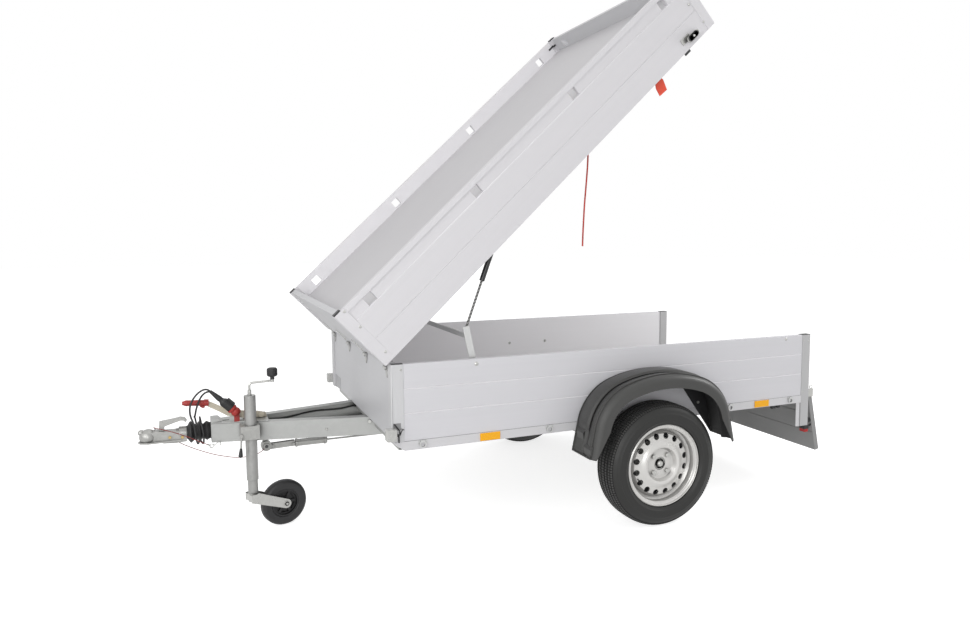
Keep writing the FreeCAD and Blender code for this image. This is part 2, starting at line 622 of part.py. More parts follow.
def overrun_housing():
    """Cast housing between the beams' tips, hung from a plate on their top flanges."""
    x0, x1 = HOUSING_REAR, BEAM_TIP_X
    y = beam_y(x1) - across(BEAM_WALL)
    under = BEAM_TOP - BEAM_WALL
    body = block(x0, x1, -y, y, HOUSING_BOTTOM, under)
    widest = x1 - (y + across(BEAM_FLANGE) - BEAM_TIP_Y) / BEAM_SLOPE
    closed = x1 - (across(BEAM_FLANGE) - BEAM_TIP_Y) / BEAM_SLOPE
    link = prism([(x0, -y, under), (widest, -y, under), (closed, 0, under), (widest, y, under), (x0, y, under)],
                 V(0, 0, BEAM_WALL))
    plate_y = beam_y(x0) - 4
    plate = prism([(x0, plate_y, BEAM_TOP), (x1, y - 1, BEAM_TOP), (x1, -y + 1, BEAM_TOP),
                   (x0, -plate_y, BEAM_TOP)], V(0, 0, HOUSING_PLATE))
    nose = prism([(x1 - 45, -y, HOUSING_TOP), (x1, -y, HOUSING_TOP), (x1, -y, HOUSING_TOP + 14),
                  (x1 - 30, -y, HOUSING_TOP + 14)], V(0, 2 * y, 0))
    tube = rod(V(x0 - 5, 0, TUBE_Z), V(x1 + 5, 0, TUBE_Z), DRAW_TUBE_RADIUS)
    ends = [tip(-SLOT_BACK - 6, 12, -10), tip(-SLOT_BACK + 6, 12, -10)]
    slot = [rod(p, p + V(0, 0, 11), 9) for p in ends]
    slot.append(block(ends[0].x, ends[1].x, 3, 21, HOUSING_TOP - 10, HOUSING_TOP + 1))
    seat = tip(*CABLE_SEAT, -HOUSING_PLATE)
    return fused([body.cut(tube), link, plate, nose]).cut(slot + [rod(seat, seat + V(0, 0, 7), CABLE_RADIUS + 1.2)])


def coupling_neck():
    """Pressed body of the coupling, from the clamp on the draw tube to the ball cup."""
    x = COUPLING_X
    side = [(COUPLING_REAR_X, -33), (x - 107, -36), (x - 60, -33), (x - 42, -27), (x - 8, -27), (x - 8, 16),
            (x - 28, 21), (x - 65, 16), (COUPLING_REAR_X, 15)]
    return prism([(px, -26, TUBE_Z + up) for px, up in side], V(0, 52, 0))


def ball_cup():
    return Part.makeSphere(BALL_RADIUS + 9, V(COUPLING_X, 0, TUBE_Z - 4))


def coupling_head():
    tube = rod(V(HOUSING_REAR + 15, 0, TUBE_Z), V(COUPLING_REAR_X + 40, 0, TUBE_Z), DRAW_TUBE_RADIUS)
    low = TUBE_Z - 28
    edge = [(COUPLING_REAR_X + 20, 30), (COUPLING_X, 38), (COUPLING_X + 30, 24), (COUPLING_NOSE, 0)]
    outline = [(x, -y, low) for x, y in edge] + [(x, y, low) for x, y in reversed(edge[:-1])]
    rim_plate = prism(outline, V(0, 0, 6))
    collar = rod(V(COUPLING_REAR_X, 0, TUBE_Z), V(COUPLING_REAR_X + 30, 0, TUBE_Z), 28)
    dome = Part.makeSphere(13, V(COUPLING_X + 25, 0, TUBE_Z + 16))
    head = fused([tube, ball_cup(), coupling_neck(), rim_plate, collar, dome])
    ball = Part.makeSphere(BALL_RADIUS + 0.4, V(COUPLING_X, 0, TUBE_Z - 4))
    mouth = rod(V(COUPLING_X, 0, TUBE_Z - 60), V(COUPLING_X, 0, TUBE_Z - 4), BALL_RADIUS + 0.4)
    return head.cut([ball, mouth])


def coupling_handle():
    """Pressed lever standing on the coupling head."""
    side = [(-42, 14), (-44, 57), (-99, 64), (-126, 69), (-142, 65), (-150, 54), (-144, 47), (-136, 55),
            (-126, 56), (-98, 48), (-64, 37), (-61, 14)]
    lever = prism([(COUPLING_X + x, -15, TUBE_Z + up) for x, up in side], V(0, 30, 0))
    return lever.cut([coupling_neck(), ball_cup()])


def bellows():
    """Rubber gaiter between the overrun housing and the coupling, its folds growing to the front."""
    folds = [(0.0, 24), (0.0, 34), (0.07, 36), (0.17, 42), (0.25, 36), (0.32, 30), (0.38, 36), (0.45, 46),
             (0.54, 38), (0.63, 31), (0.72, 38), (0.82, 47), (0.87, 44), (0.97, 28), (1.0, 28), (1.0, 24)]
    pts = [V(BEAM_TIP_X + along * BELLOWS_LENGTH, 0, TUBE_Z + r) for along, r in folds]
    face = Part.Face(Part.makePolygon(pts + [pts[0]]))
    return face.revolve(V(0, 0, TUBE_Z), V(1, 0, 0), 360)


def handbrake_lever():
    y = HANDBRAKE_Y
    path = [(-214, 4), (-207, 26), (-150, 34), (-69, 52), (-38, 68), (7, 94), (10, 70), (-34, 44), (-66, 22),
            (-140, 4), (-186, 2)]
    lever = prism([tuple(tip(x, y - 4, up)) for x, up in path], V(0, 8, 0))
    arch = [(-228, 0), (-128, 0), (-146, 18), (-190, 30), (-224, 20)]
    quadrant = prism([tuple(tip(x, y - 10, up)) for x, up in arch], V(0, 5, 0))
    pivot = rod(tip(-205, y - 12, 14), tip(-205, y + 8, 14), 12)
    return fused([lever, quadrant, pivot])


def handbrake_grip():
    """Moulded grip on the lever's end, with its release trigger below."""
    profile = [(0, 0), (0, 14.5), (17, 14.5), (20, 12), (40, 13), (66, 12), (86, 13), (94, 11), (97, 9),
               (103, 8), (103, 0)]
    pts = [V(x, 0, r) for x, r in profile]
    grip = Part.Face(Part.makePolygon(pts + [pts[0]])).revolve(V(0, 0, 0), V(1, 0, 0), 360)
    trigger = prism([(14, -3, -8), (14, -3, -20), (22, -3, -24), (34, -3, -16), (34, -3, -8)], V(0, 6, 0))
    grip = fused([grip, trigger])
    grip.rotate(V(0, 0, 0), V(0, 1, 0), -3.3)
    grip.translate(tip(5, HANDBRAKE_Y, 86))
    return grip.cut(handbrake_lever())


def brake_linkage():
    x, z = HOUSING_REAR, BEAM_BOTTOM - 52
    hub_disc = rod(V(x + 8, -12, z + 5), V(x + 8, 26, z + 5), 22)
    hanger = block(x + 2, x + 22, -10, 10, z + 5, HOUSING_BOTTOM)
    fork = block(x - 116, x, -6, 6, z - 8, z + 6)
    spring = rod(V(x - 257, 0, z), V(x - 116, 0, z), 16)
    pull = rod(V(AXLE_X + 30, 0, z), V(x - 257, 0, z), 4)
    return fused([hub_disc, hanger, fork, spring, pull])


# Plug and cables

def plug_axis(s):
    """Point on the parked plug's axis, s above its mating face."""
    slope = math.radians(PLUG_SLOPE)
    back = PLUG_LENGTH - s
    return tip(*PLUG_CABLE_ROUTE[0]) - V(back * math.cos(slope), 0, back * math.sin(slope))


def on_plug(profile):
    """Solid of revolution about the parked plug's axis, from (radius, distance) points."""
    pts = [V(r, 0, s) for r, s in profile]
    solid = Part.Face(Part.makePolygon(pts + [pts[0]])).revolve(V(0, 0, 0), V(0, 0, 1), 360)
    solid.rotate(V(0, 0, 0), V(0, 1, 0), 90 - PLUG_SLOPE)
    solid.translate(plug_axis(0))
    return solid


def plug():
    """Trailer plug with its shoulder, tapered boot and latch."""
    r, neck = PLUG_RADIUS, CABLE_RADIUS + 2.5
    body = on_plug([(0, 0), (r - 4, 0), (r - 4, 8), (r, 8), (r, 50), (r - 7, 60), (r - 8, 66), (r - 7, 72),
                    (neck, PLUG_LENGTH), (0, PLUG_LENGTH)])
    latch = block(-r - 7, -r + 4, -7, 7, 10, 46)
    latch.rotate(V(0, 0, 0), V(0, 1, 0), 90 - PLUG_SLOPE)
    latch.translate(plug_axis(0))
    return fused([body, latch])


def plug_holder():
    """Parking socket on a foot, screwed to the housing plate."""
    r, end = PLUG_RADIUS - 4, -SOCKET_DEPTH
    socket = on_plug([(0, end), (r - 2, end), (r + 4, end + 8), (r + 5, end + 18), (r + 2, end + 26), (r + 6, 0),
                      (r + 6, 8), (r, 8), (r, end + 8), (0, end + 8)])
    below = plug_axis(end)
    foot = block(below.x - 4, below.x + 18, PLUG_Y - 14, PLUG_Y + 2, HOUSING_TOP, below.z)
    return fused([socket, foot.cut(on_plug([(0, end + 4), (r + 2, end + 4), (r + 2, 8), (0, 8)]))])


def plug_cable():
    """Lead from the boot, twice round the bellows and down beside the handbrake to the beam's flange."""
    return tangent_tube([tip(*p) for p in PLUG_CABLE_ROUTE], CABLE_RADIUS)


def breakaway_cable():
    """Thin coated cable hanging from the brake shaft to its snap hook."""
    return tangent_tube([tip(*p) for p in BREAKAWAY_ROUTE], BREAKAWAY_RADIUS)


def breakaway_hook():
    """Snap hook: a crimped sleeve on the cable's end, a ring and the bent hook."""
    end, before = tip(*BREAKAWAY_ROUTE[-1]), tip(*BREAKAWAY_ROUTE[-2])
    sleeve_end = end + end.sub(before).normalize() * 12
    centre = V(sleeve_end.x - 7, sleeve_end.y - 1, sleeve_end.z - 3)
    ring = Part.makeTorus(8, 2, centre, V(0, 1, 0))
    bend = [(-7, 2), (-15, 6), (-29, 15), (-36, 8), (-32, -3)]
    hook = tangent_tube([centre + V(x, 0, z) for x, z in bend], 2)
    return fused([rod(end, sleeve_end, 3), ring, hook])


def lamp_cable():
    """Wiring clipped inside the right drawbar beam, from the housing to the front wall."""
    return tangent_tube([tip(*p) for p in LAMP_CABLE_ROUTE], WIRE_RADIUS)


def pull_cord():
    """Cord that hangs from the open lid to pull it down."""
    shut = Part.Vertex(V(LID_REAR + CORD_FROM_REAR, PANEL_IN, LID_BOTTOM + CORD_RAISE))
    eye = V(*opened(shut).Point)
    return tangent_tube([eye + V(*p) for p in PULL_CORD_ROUTE], PULL_CORD_RADIUS)


# Jockey wheel

def jockey_clamp():
    z0, z1 = CLAMP_BOTTOM, CLAMP_TOP
    x0, x1, y1 = JOCKEY_X - 34, JOCKEY_X + 42, JOCKEY_Y + 30
    shells = prism([(x0, beam_y(x0), z0), (x1, beam_y(x1), z0), (x1, y1, z0), (x0, y1, z0)], V(0, 0, z1 - z0))
    shells = shells.cut(rod(V(JOCKEY_X, JOCKEY_Y, z0 - 1), V(JOCKEY_X, JOCKEY_Y, z1 + 1), JOCKEY_TUBE))
    top, bottom = clamp_lever()
    screw = rod(V(top.x, y1, top.z), V(top.x, y1 + 10, top.z), 7)
    return fused([shells, screw, rod(top, bottom, 4)])


def clamp_lever():
    """Ends of the clamp screw's steel arm, which hangs beside the tube."""
    top = V(JOCKEY_X + 40, JOCKEY_Y + 37, CLAMP_TOP - 38)
    return top, top + V(4, 0, -51)


def jockey_tube():
    c = V(JOCKEY_X, JOCKEY_Y, JOCKEY_TUBE_END)
    top = V(JOCKEY_X, JOCKEY_Y, JOCKEY_TOP)
    tube = pipe(c, top, JOCKEY_TUBE, JOCKEY_TUBE - 3)
    head = rod(top - V(0, 0, 6), top + V(0, 0, 4), JOCKEY_TUBE)
    return fused([tube, head])


def jockey_crank():
    x, y = JOCKEY_X, JOCKEY_Y
    z = JOCKEY_TOP + 4
    neck = rod(V(x, y, z), V(x, y, z + 22), 8)
    route = [V(x, y, z + 20), V(x, y, z + 52), V(x - 28, y, z + 54), V(x - CRANK_REACH - 2, y, z + 56)]
    stem = rod(V(x - CRANK_REACH, y, z + 50), V(x - CRANK_REACH, y, z + KNOB_RAISE), 7)
    return fused([neck, tangent_tube(route, 5), stem])


def jockey_grips():
    """Knob on the crank's end pin and the moulded grip of the clamp's lever."""
    p = V(JOCKEY_X - CRANK_REACH, JOCKEY_Y, JOCKEY_TOP + 4 + KNOB_RAISE)
    knob = rod(p + V(0, 0, 12), p + V(0, 0, 50), KNOB_RADIUS)
    knob = knob.makeFillet(9, [e for e in knob.Edges if e.Closed and len(e.Vertexes) == 1])
    top, bottom = clamp_lever()
    d = bottom.sub(top).normalize()
    grip = fused([Part.makeCone(5, 9, 32, bottom, d), Part.makeSphere(9, bottom + d * 32)])
    return Part.makeCompound([fused([rod(p, p + V(0, 0, 13), KNOB_STEM), knob]), grip])


def jockey_inner():
    """Sliding stem inside the clamped tube."""
    c = V(JOCKEY_X, JOCKEY_Y, 172)
    return rod(c, V(JOCKEY_X, JOCKEY_Y, 500), JOCKEY_INNER)


def jockey_turned(shape):
    return turned(shape, V(JOCKEY_X, JOCKEY_Y, 0), V(0, 0, 1), JOCKEY_SWIVEL)


def jockey_fork():
    """Swivel boss with two trailing arms and the wheel pin."""
    x, y = JOCKEY_X, JOCKEY_Y
    boss = rod(V(x, y, 136), V(x, y, 171.7), JOCKEY_INNER)
    gap = JOCKEY_WIDTH / 2 + 5
    pin_x, front = x - JOCKEY_TRAIL, x + JOCKEY_INNER
    side = [(front, 137), (front, 171), (x - 20, 171), (pin_x - 7.6, JOCKEY_RADIUS + 18.5),
            (pin_x + 7.6, JOCKEY_RADIUS - 18.5)]
    arms = []
    for s in (-1, 1):
        y0, y1 = sorted((y + s * gap, y + s * (gap + 5)))
        arms.append(prism([(px, y0, pz) for px, pz in side], V(0, y1 - y0, 0)))
        arms.append(rod(V(pin_x, y0, JOCKEY_RADIUS), V(pin_x, y1, JOCKEY_RADIUS), 20))
    bridge = block(x - 20, x + 20, y - gap, y + gap, 140, 168)
    wheel_pin = rod(V(pin_x, y - gap - 5, JOCKEY_RADIUS), V(pin_x, y + gap + 5, JOCKEY_RADIUS), 8)
    return jockey_turned(fused([boss, bridge, wheel_pin] + arms))


def jockey_centre():
    return V(JOCKEY_X - JOCKEY_TRAIL, JOCKEY_Y, JOCKEY_RADIUS)


def jockey_rim():
    c = jockey_centre()
    hub_part = spun([(8.1, -27), (18, -27), (20, -10), (54, -10), (54, -20), (60, -20), (60, 20), (54, 20),
                     (54, 10), (20, 10), (18, 27), (8.1, 27)], c)
    cuts = []
    for i in range(6):
        a, b = math.radians(60 * i + 8), math.radians(60 * i + 52)
        for y in (-30, JOCKEY_WEB):
            corners = [(c.x + r * math.cos(t), c.y + y, c.z + r * math.sin(t))
                       for r, t in ((26, a), (26, b), (48, b), (48, a))]
            cuts.append(prism(corners, V(0, 30 - JOCKEY_WEB, 0)))
    return jockey_turned(hub_part.cut(cuts))


def jockey_tyre():
    c, R = jockey_centre(), JOCKEY_RADIUS
    w = JOCKEY_WIDTH / 2
    solid = spun([(60, -20), (66, -w + 2), (R - 12, -w), (R - 4, -w + 6), (R, -w + 16), (R, w - 16),
                  (R - 4, w - 6), (R - 12, w), (66, w - 2), (60, 20)], c)
    return jockey_turned(solid)


# Lid

def lid_sides():
    x0, x1 = LID_REAR + POST_LENGTH, BODY_FRONT - POST_LENGTH
    z = LID_BOTTOM
    wall = block(x0, x1, PANEL_IN, PANEL_OUT, z, z + LID_BAND)
    band = block(x0, x1, PANEL_IN, PANEL_OUT - LID_BAND_INSET, z + LID_BAND, z + LID_RIM)
    top = block(x0, x1, PANEL_IN, HALF, z + LID_RIM, z + LID_HEIGHT)
    side = fused([wall, band, top])
    cuts = []
    for i in range(SLOT_COUNT):
        x = BODY_FRONT - SLOT_FIRST - i * SLOT_PITCH
        cuts.append(block(x - SLOT_LENGTH / 2, x + SLOT_LENGTH / 2, PANEL_IN - 1, HALF + 1,
                          z + LID_BAND + 3, z + LID_BAND + 3 + SLOT_HEIGHT))
    zg = z + PLANK_HEIGHT + 7
    cuts.append(block(x0 - 1, x1 + 1, PANEL_OUT - GROOVE, HALF, zg - GROOVE / 2, zg + GROOVE / 2))
    side = side.cut(cuts)
    return pair(opened(side))


def lid_ends():
    y = HALF - POST_LENGTH
    z0, z1 = LID_BOTTOM, LID_BOTTOM + LID_HEIGHT
    front = block(WALL_BACK, WALL_FRONT, -y, y, z0, z1)
    rear = block(LID_REAR + FRONT_WALL_INSET, LID_REAR + FRONT_WALL_INSET + WALL, -y, y, z0, z1)
    for s in (-1, 1):
        yc = s * (HALF - END_SLOT_INSET)
        rear = rear.cut(block(LID_REAR, LID_REAR + POST_LENGTH, yc - SLOT_LENGTH / 2, yc + SLOT_LENGTH / 2,
                              z0 + LID_BAND + 3, z0 + LID_BAND + 3 + SLOT_HEIGHT))
    return Part.makeCompound([opened(front), opened(rear)])


def lid_posts():
    z0, z1 = LID_BOTTOM, LID_BOTTOM + LID_HEIGHT
    post = block(BODY_FRONT - POST_LENGTH, BODY_FRONT, HALF - POST_LENGTH, HALF, z0, z1)
    post = post.cut(block(BODY_FRONT - POST_LENGTH - 1, WALL_BACK, HALF - POST_LENGTH - 1,
                          PANEL_IN, z0 - 1, z1 + 1))
    corner = [e for e in post.Edges if e.Length > LID_HEIGHT - 1
              and abs(e.CenterOfMass.x - BODY_FRONT) < 0.1 and abs(e.CenterOfMass.y - HALF) < 0.1]
    post = post.makeFillet(POST_ROUND, corner)
    middle = (BODY_FRONT + LID_REAR) / 2
    rear = post.mirror(V(middle, 0, 0), V(1, 0, 0))
    shapes = [opened(post), opened(rear)]
    return Part.makeCompound(shapes + [mirrored(s) for s in shapes])


def lid_caps():
    z = LID_BOTTOM + LID_HEIGHT
    cap = block(BODY_FRONT - 34, BODY_FRONT - 1, HALF - 34, HALF - 1, z, z + 5)
    middle = (BODY_FRONT + LID_REAR) / 2
    rear = cap.mirror(V(middle, 0, 0), V(1, 0, 0))
    shapes = [opened(cap), opened(rear)]
    return Part.makeCompound(shapes + [mirrored(s) for s in shapes])


def lid_sheet():
    z = LID_BOTTOM + LID_SHEET_TOP
    return opened(block(LID_REAR + FRONT_WALL_INSET + WALL, WALL_BACK, -PANEL_IN, PANEL_IN, z - LID_SHEET, z))


def hinge_leaves():
    """Body half of the four hinges: outer knuckles, pin and a leaf on the front wall."""
    parts = []
    for y in HINGE_YS:
        leaf = prism([(WALL_FRONT, y - HINGE_HALF, HINGE_Z - 8), (WALL_FRONT, y + HINGE_HALF, HINGE_Z - 8),
                      (WALL_FRONT, y + 8, HINGE_Z - 40), (WALL_FRONT, y - 8, HINGE_Z - 40)], V(3, 0, 0))
        pin = rod(V(HINGE_X, y - HINGE_HALF, HINGE_Z), V(HINGE_X, y + HINGE_HALF, HINGE_Z), 3)
        pieces = [leaf, pin]
        for s in (-1, 1):
            a, b = sorted((y + s * HINGE_HALF, y + s * 9.3))
            pieces.append(rod(V(HINGE_X, a, HINGE_Z), V(HINGE_X, b, HINGE_Z), HINGE_RADIUS))
            pieces.append(block(WALL_FRONT, HINGE_X, a, b, HINGE_Z - 12, HINGE_Z - 2))
        parts.append(fused(pieces))
    return Part.makeCompound(parts)


def hinge_straps():
    """Lid half of the hinges: middle knuckle and a triangular leaf."""
    parts = []
    x0 = WALL_FRONT
    z = LID_BOTTOM
    for y in HINGE_YS:
        leaf = prism([(x0, y - HINGE_HALF, z + 2), (x0, y + HINGE_HALF, z + 2), (x0, y + 6, z + 62),
                      (x0, y - 6, z + 62)], V(3, 0, 0))
        neck = block(x0 + 1.2, x0 + 4, y - 8.7, y + 8.7, HINGE_Z, z + 4)
        knuckle = rod(V(HINGE_X, y - 8.7, HINGE_Z), V(HINGE_X, y + 8.7, HINGE_Z), HINGE_RADIUS)
        strap = fused([leaf, neck, knuckle])
        hole = rod(V(HINGE_X, y - 20, HINGE_Z), V(HINGE_X, y + 20, HINGE_Z), 3.1)
        parts.append(opened(strap.cut(hole)))
    return Part.makeCompound(parts)


def lid_locks():
    x = LID_REAR + LOCK_FROM_REAR
    z = LID_BOTTOM + 35
    handle = block(x - 34, x + 34, PANEL_OUT + 6, PANEL_OUT + 18, z - 9, z + 9)
    handle = handle.makeFillet(5, [e for e in handle.Edges if e.Length > 60])
    boss = rod(V(x, PANEL_OUT, z), V(x, PANEL_OUT + 20, z), 13)
    plate = block(x + 10, x + 66, PANEL_OUT, PANEL_OUT + 3, z - 4, z + 22)
    y = PANEL_IN - CLEAR - 1
    hook = block(x + 26, x + 62, y - 4, y, LID_BOTTOM - 20, z)
    seat = block(x + 26, x + 62, y, PANEL_IN, LID_BOTTOM + 8, z)
    outside, inside = opened(fused([handle, boss, plate])), opened(fused([hook, seat]))
    return Part.makeCompound([outside, inside, mirrored(outside), mirrored(inside)])


def pull_tab():
    """Webbing tab hanging under the lid's left edge."""
    x = LID_REAR + TAB_FROM_REAR
    y = PANEL_IN - CLEAR - 1
    outline = [(24, 30), (15, -12), (23, -25), (29, -61), (-20, -64), (-34, -19), (-24, 30)]
    tab = prism([(x + dx, y - 3, LID_BOTTOM + up) for dx, up in outline], V(0, 3, 0))
    seat = block(x - 24, x + 24, y, PANEL_IN, LID_BOTTOM + 8, LID_BOTTOM + 30)
    return opened(fused([tab, seat]))


# Struts

def strut_points():
    low = V(BOW_X, STRUT_Y, BOW_TOP)
    shut = V(BODY_FRONT - MOUNT_BACK, STRUT_Y, LID_BOTTOM + MOUNT_UP)
    top = turned(Part.Vertex(shut), V(HINGE_X, 0, HINGE_Z), V(0, 1, 0), LID_ANGLE).Point
    return low, V(*top), shut


def strut_bow():
    """Flat-bar portal between the side walls that carries the struts' lower ends."""
    y1 = STRUT_Y + 18
    d = V(BOW_X - BOW_FOOT_X, 0, BOW_TOP - BOW_FOOT_Z).normalize()
    n = V(d.z, 0, -d.x) * (BOW_BAR / 2)
    foot = V(BOW_FOOT_X, y1 - BOW_PLATE, BOW_FOOT_Z) - d * 22
    head = V(BOW_X, y1 - BOW_PLATE, BOW_TOP) + d * 16
    leg = prism([tuple(foot + n), tuple(head + n), tuple(head - n), tuple(foot - n)], V(0, BOW_PLATE, 0))
    spacer = rod(V(BOW_FOOT_X, y1, BOW_FOOT_Z), V(BOW_FOOT_X, PANEL_IN, BOW_FOOT_Z), 9)
    across = V(0, -2 * (y1 - BOW_PLATE) - BOW_PLATE, 0)
    bar_low = V(BOW_X, y1, BOW_TOP) - d * 37
    t = V(d.z, 0, -d.x) * (BOW_PLATE / 2)
    bar = prism([tuple(bar_low + t), tuple(bar_low + d * 22 + t), tuple(bar_low + d * 22 - t), tuple(bar_low - t)],
                V(0, -2 * y1, 0))
    return fused([leg, mirrored(leg), spacer, mirrored(spacer), bar])


def strut_mounts():
    low, top, shut = strut_points()
    plate = block(shut.x - 30, shut.x + 30, PANEL_IN - 4, PANEL_IN, shut.z - 25, shut.z + 25)
    stud = rod(V(shut.x, STRUT_Y - 8, shut.z), V(shut.x, PANEL_IN, shut.z), 4)
    return pair(opened(fused([plate, stud])))


def strut_cylinder():
    low, top, shut = strut_points()
    d = low.sub(top).normalize()
    length = low.distanceToPoint(top) - ROD_SHOWN
    body = rod(top + d * 16, top + d * length, STRUT_TUBE)
    bore = rod(top + d * 30, top + d * (length - 8), STRUT_TUBE - 2.5)
    gland = rod(top + d * (length - 10), top + d * (length + 1), STRUT_ROD + 0.3)
    eye = rod(top - V(0, 5, 0), top + V(0, 5, 0), 10)
    neck = rod(top, top + d * 18, 6)
    hole = rod(top - V(0, 12, 0), top + V(0, 12, 0), 4.1)
    return fused([body.cut(bore), eye, neck]).cut([hole, gland])


def strut_rod():
    low, top, shut = strut_points()
    d = low.sub(top).normalize()
    length = low.distanceToPoint(top)
    shaft = rod(low - d * 6, top + d * (length - ROD_SHOWN - ROD_TUCK), STRUT_ROD)
    piston = rod(top + d * (length - ROD_SHOWN - ROD_TUCK), top + d * (length - ROD_SHOWN - ROD_TUCK + 10),
                 STRUT_TUBE - 3)
    eye = rod(low - V(0, 6, 0), low + V(0, 6, 0), 9)
    bolt = rod(low - V(0, 9, 0), V(low.x, STRUT_Y + 11.7, low.z), 4)
    return fused([shaft, piston, eye, bolt])


# Tailgate

def tailgate():
    y = HALF - GATE_SIDE_GAP
    x0 = GATE_HINGE_X - GATE_THICKNESS / 2
    x1 = x0 + GATE_THICKNESS
    panel = block(x0, x1, -y, y, GATE_HINGE_Z + GATE_SEAT, SIDE_TOP)
    cuts = []
    for i in (1, 2):
        z = SIDE_TOP - i * PLANK_HEIGHT
        cuts.append(block(x0 - 1, x0 + GROOVE, -y - 1, y + 1, z - GROOVE / 2, z + GROOVE / 2))
    panel = panel.cut(cuts)
    knuckles = []
    for s in (-1, 1):
        a, b = sorted((s * (y - 60), s * y))
        knuckle = rod(V(GATE_HINGE_X, a, GATE_HINGE_Z), V(GATE_HINGE_X, b, GATE_HINGE_Z), 11)
        web = block(GATE_HINGE_X - 6, GATE_HINGE_X + 6, a, b, GATE_HINGE_Z, GATE_HINGE_Z + GATE_SEAT)
        hole = rod(V(GATE_HINGE_X, a - 1, GATE_HINGE_Z), V(GATE_HINGE_X, b + 1, GATE_HINGE_Z), GATE_PIN + RUN_GAP)
        knuckles.append(fused([knuckle, web]).cut(hole))
    return lowered(fused([panel] + knuckles))


def gate_lugs():
    """Lugs on the rear posts with the tailgate's hinge pins, and the rubber stops."""
    y = HALF - GATE_SIDE_GAP
    lug = block(GATE_HINGE_X - 14, BODY_REAR, y + CLEAR, y + CLEAR + 5, GATE_HINGE_Z - 14, GATE_HINGE_Z + 26)
    pin = rod(V(GATE_HINGE_X, y - 66, GATE_HINGE_Z), V(GATE_HINGE_X, y + CLEAR + 5, GATE_HINGE_Z), GATE_PIN)
    ring = Part.makeTorus(9, 2, V(GATE_HINGE_X, y + CLEAR + 2.5, GATE_HINGE_Z + 36), V(0, 1, 0))
    return pair(fused([lug, pin, ring]))


def gate_stops():
    """Rubber buffers that the hanging tailgate leans on, cut to its slope."""
    y = HALF - GATE_SIDE_GAP - STOP_RADIUS - 3
    stub = rod(V(BODY_REAR, y, STOP_Z), V(BODY_REAR - 60, y, STOP_Z), STOP_RADIUS)
    face = GATE_HINGE_X - GATE_THICKNESS / 2 - SEAT_GAP
    beyond = lowered(block(face, face + 200, 0, HALF, GATE_HINGE_Z, SIDE_TOP))
    return pair(stub.cut(beyond))


def build():
    cylinder, plunger = strut_cylinder(), strut_rod()
    wheel_hub, wheel_rim, wheel_tyre = hub(), rim(), tyre()
    return {
        "drawbar": drawbar(), "body_frame": body_frame(), "floor": floor(), "side_walls": side_walls(),
        "front_wall": front_wall(), "corner_posts": corner_posts(), "post_caps": post_caps(),
        "tie_down_eyes": tie_downs(), "side_reflectors": reflectors(), "marker_lamps": marker_lamps(),
        "rear_lamps": rear_lamps(),
        "axle_beam": axle_beam(), "swing_arms": swing_arms(),
        "mudguards": pair(mudguard()),
        "hub_left": wheel_hub, "hub_right": mirrored(wheel_hub),
        "rim_left": wheel_rim, "rim_right": mirrored(wheel_rim),
        "tyre_left": wheel_tyre, "tyre_right": mirrored(wheel_tyre),
        "overrun_housing": overrun_housing(), "coupling_head": coupling_head(),
        "coupling_handle": coupling_handle(), "bellows": bellows(),
        "handbrake_lever": handbrake_lever(), "handbrake_grip": handbrake_grip(),
        "brake_linkage": brake_linkage(), "plug": plug(), "plug_holder": plug_holder(),
        "plug_cable": plug_cable(), "breakaway_cable": breakaway_cable(),
        "breakaway_hook": breakaway_hook(), "lamp_cable": lamp_cable(),
        "jockey_clamp": jockey_clamp(), "jockey_tube": jockey_tube(), "jockey_crank": jockey_crank(),
        "jockey_grips": jockey_grips(),
        "jockey_stem": jockey_inner(), "jockey_fork": jockey_fork(),
        "jockey_rim": jockey_rim(), "jockey_tyre": jockey_tyre(),
        "lid_sides": lid_sides(), "lid_ends": lid_ends(), "lid_posts": lid_posts(), "lid_caps": lid_caps(),
        "lid_sheet": lid_sheet(), "lid_hinge_leaves": hinge_leaves(), "lid_hinge_straps": hinge_straps(),
        "lid_locks": lid_locks(), "lid_pull_tab": pull_tab(), "pull_cord": pull_cord(),
        "strut_bow": strut_bow(), "strut_mounts": strut_mounts(),
        "strut_cylinder_left": cylinder, "strut_cylinder_right": mirrored(cylinder),
        "strut_rod_left": plunger, "strut_rod_right": mirrored(plunger),
        "tailgate": tailgate(), "tailgate_lugs": gate_lugs(), "tailgate_stops": gate_stops(),
    }


print("origin at x =", MIDDLE_X)
os.makedirs("parts", exist_ok=True)
for name, shape in build().items():
    bad = [s for s in shape.Solids if not s.isValid() or s.Volume <= 0]
    print(name, len(shape.Solids), "solids", round(shape.Volume / 1000, 1), "cm3", "BAD" if bad else "")
    shape.translate(V(-MIDDLE_X, 0, 0))
    shape.exportStep("parts/%s.step" % name)
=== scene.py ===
import bmesh
import bpy
import json
import math
from mathutils import Matrix, Vector


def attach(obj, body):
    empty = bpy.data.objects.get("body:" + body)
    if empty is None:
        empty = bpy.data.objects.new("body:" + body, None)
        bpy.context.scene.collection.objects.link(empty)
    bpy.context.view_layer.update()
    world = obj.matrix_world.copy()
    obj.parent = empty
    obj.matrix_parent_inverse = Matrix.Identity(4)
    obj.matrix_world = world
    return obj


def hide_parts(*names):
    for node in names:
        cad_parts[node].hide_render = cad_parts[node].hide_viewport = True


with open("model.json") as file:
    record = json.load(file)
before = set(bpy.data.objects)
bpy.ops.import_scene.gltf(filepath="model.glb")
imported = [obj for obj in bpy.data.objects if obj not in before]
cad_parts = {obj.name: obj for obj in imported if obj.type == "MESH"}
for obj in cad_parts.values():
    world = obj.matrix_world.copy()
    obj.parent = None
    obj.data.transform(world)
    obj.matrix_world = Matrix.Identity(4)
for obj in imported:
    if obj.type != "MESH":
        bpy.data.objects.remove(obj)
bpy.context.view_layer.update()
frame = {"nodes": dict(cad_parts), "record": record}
nodes = frame["nodes"]
print("frame loaded:", len(nodes), "nodes")

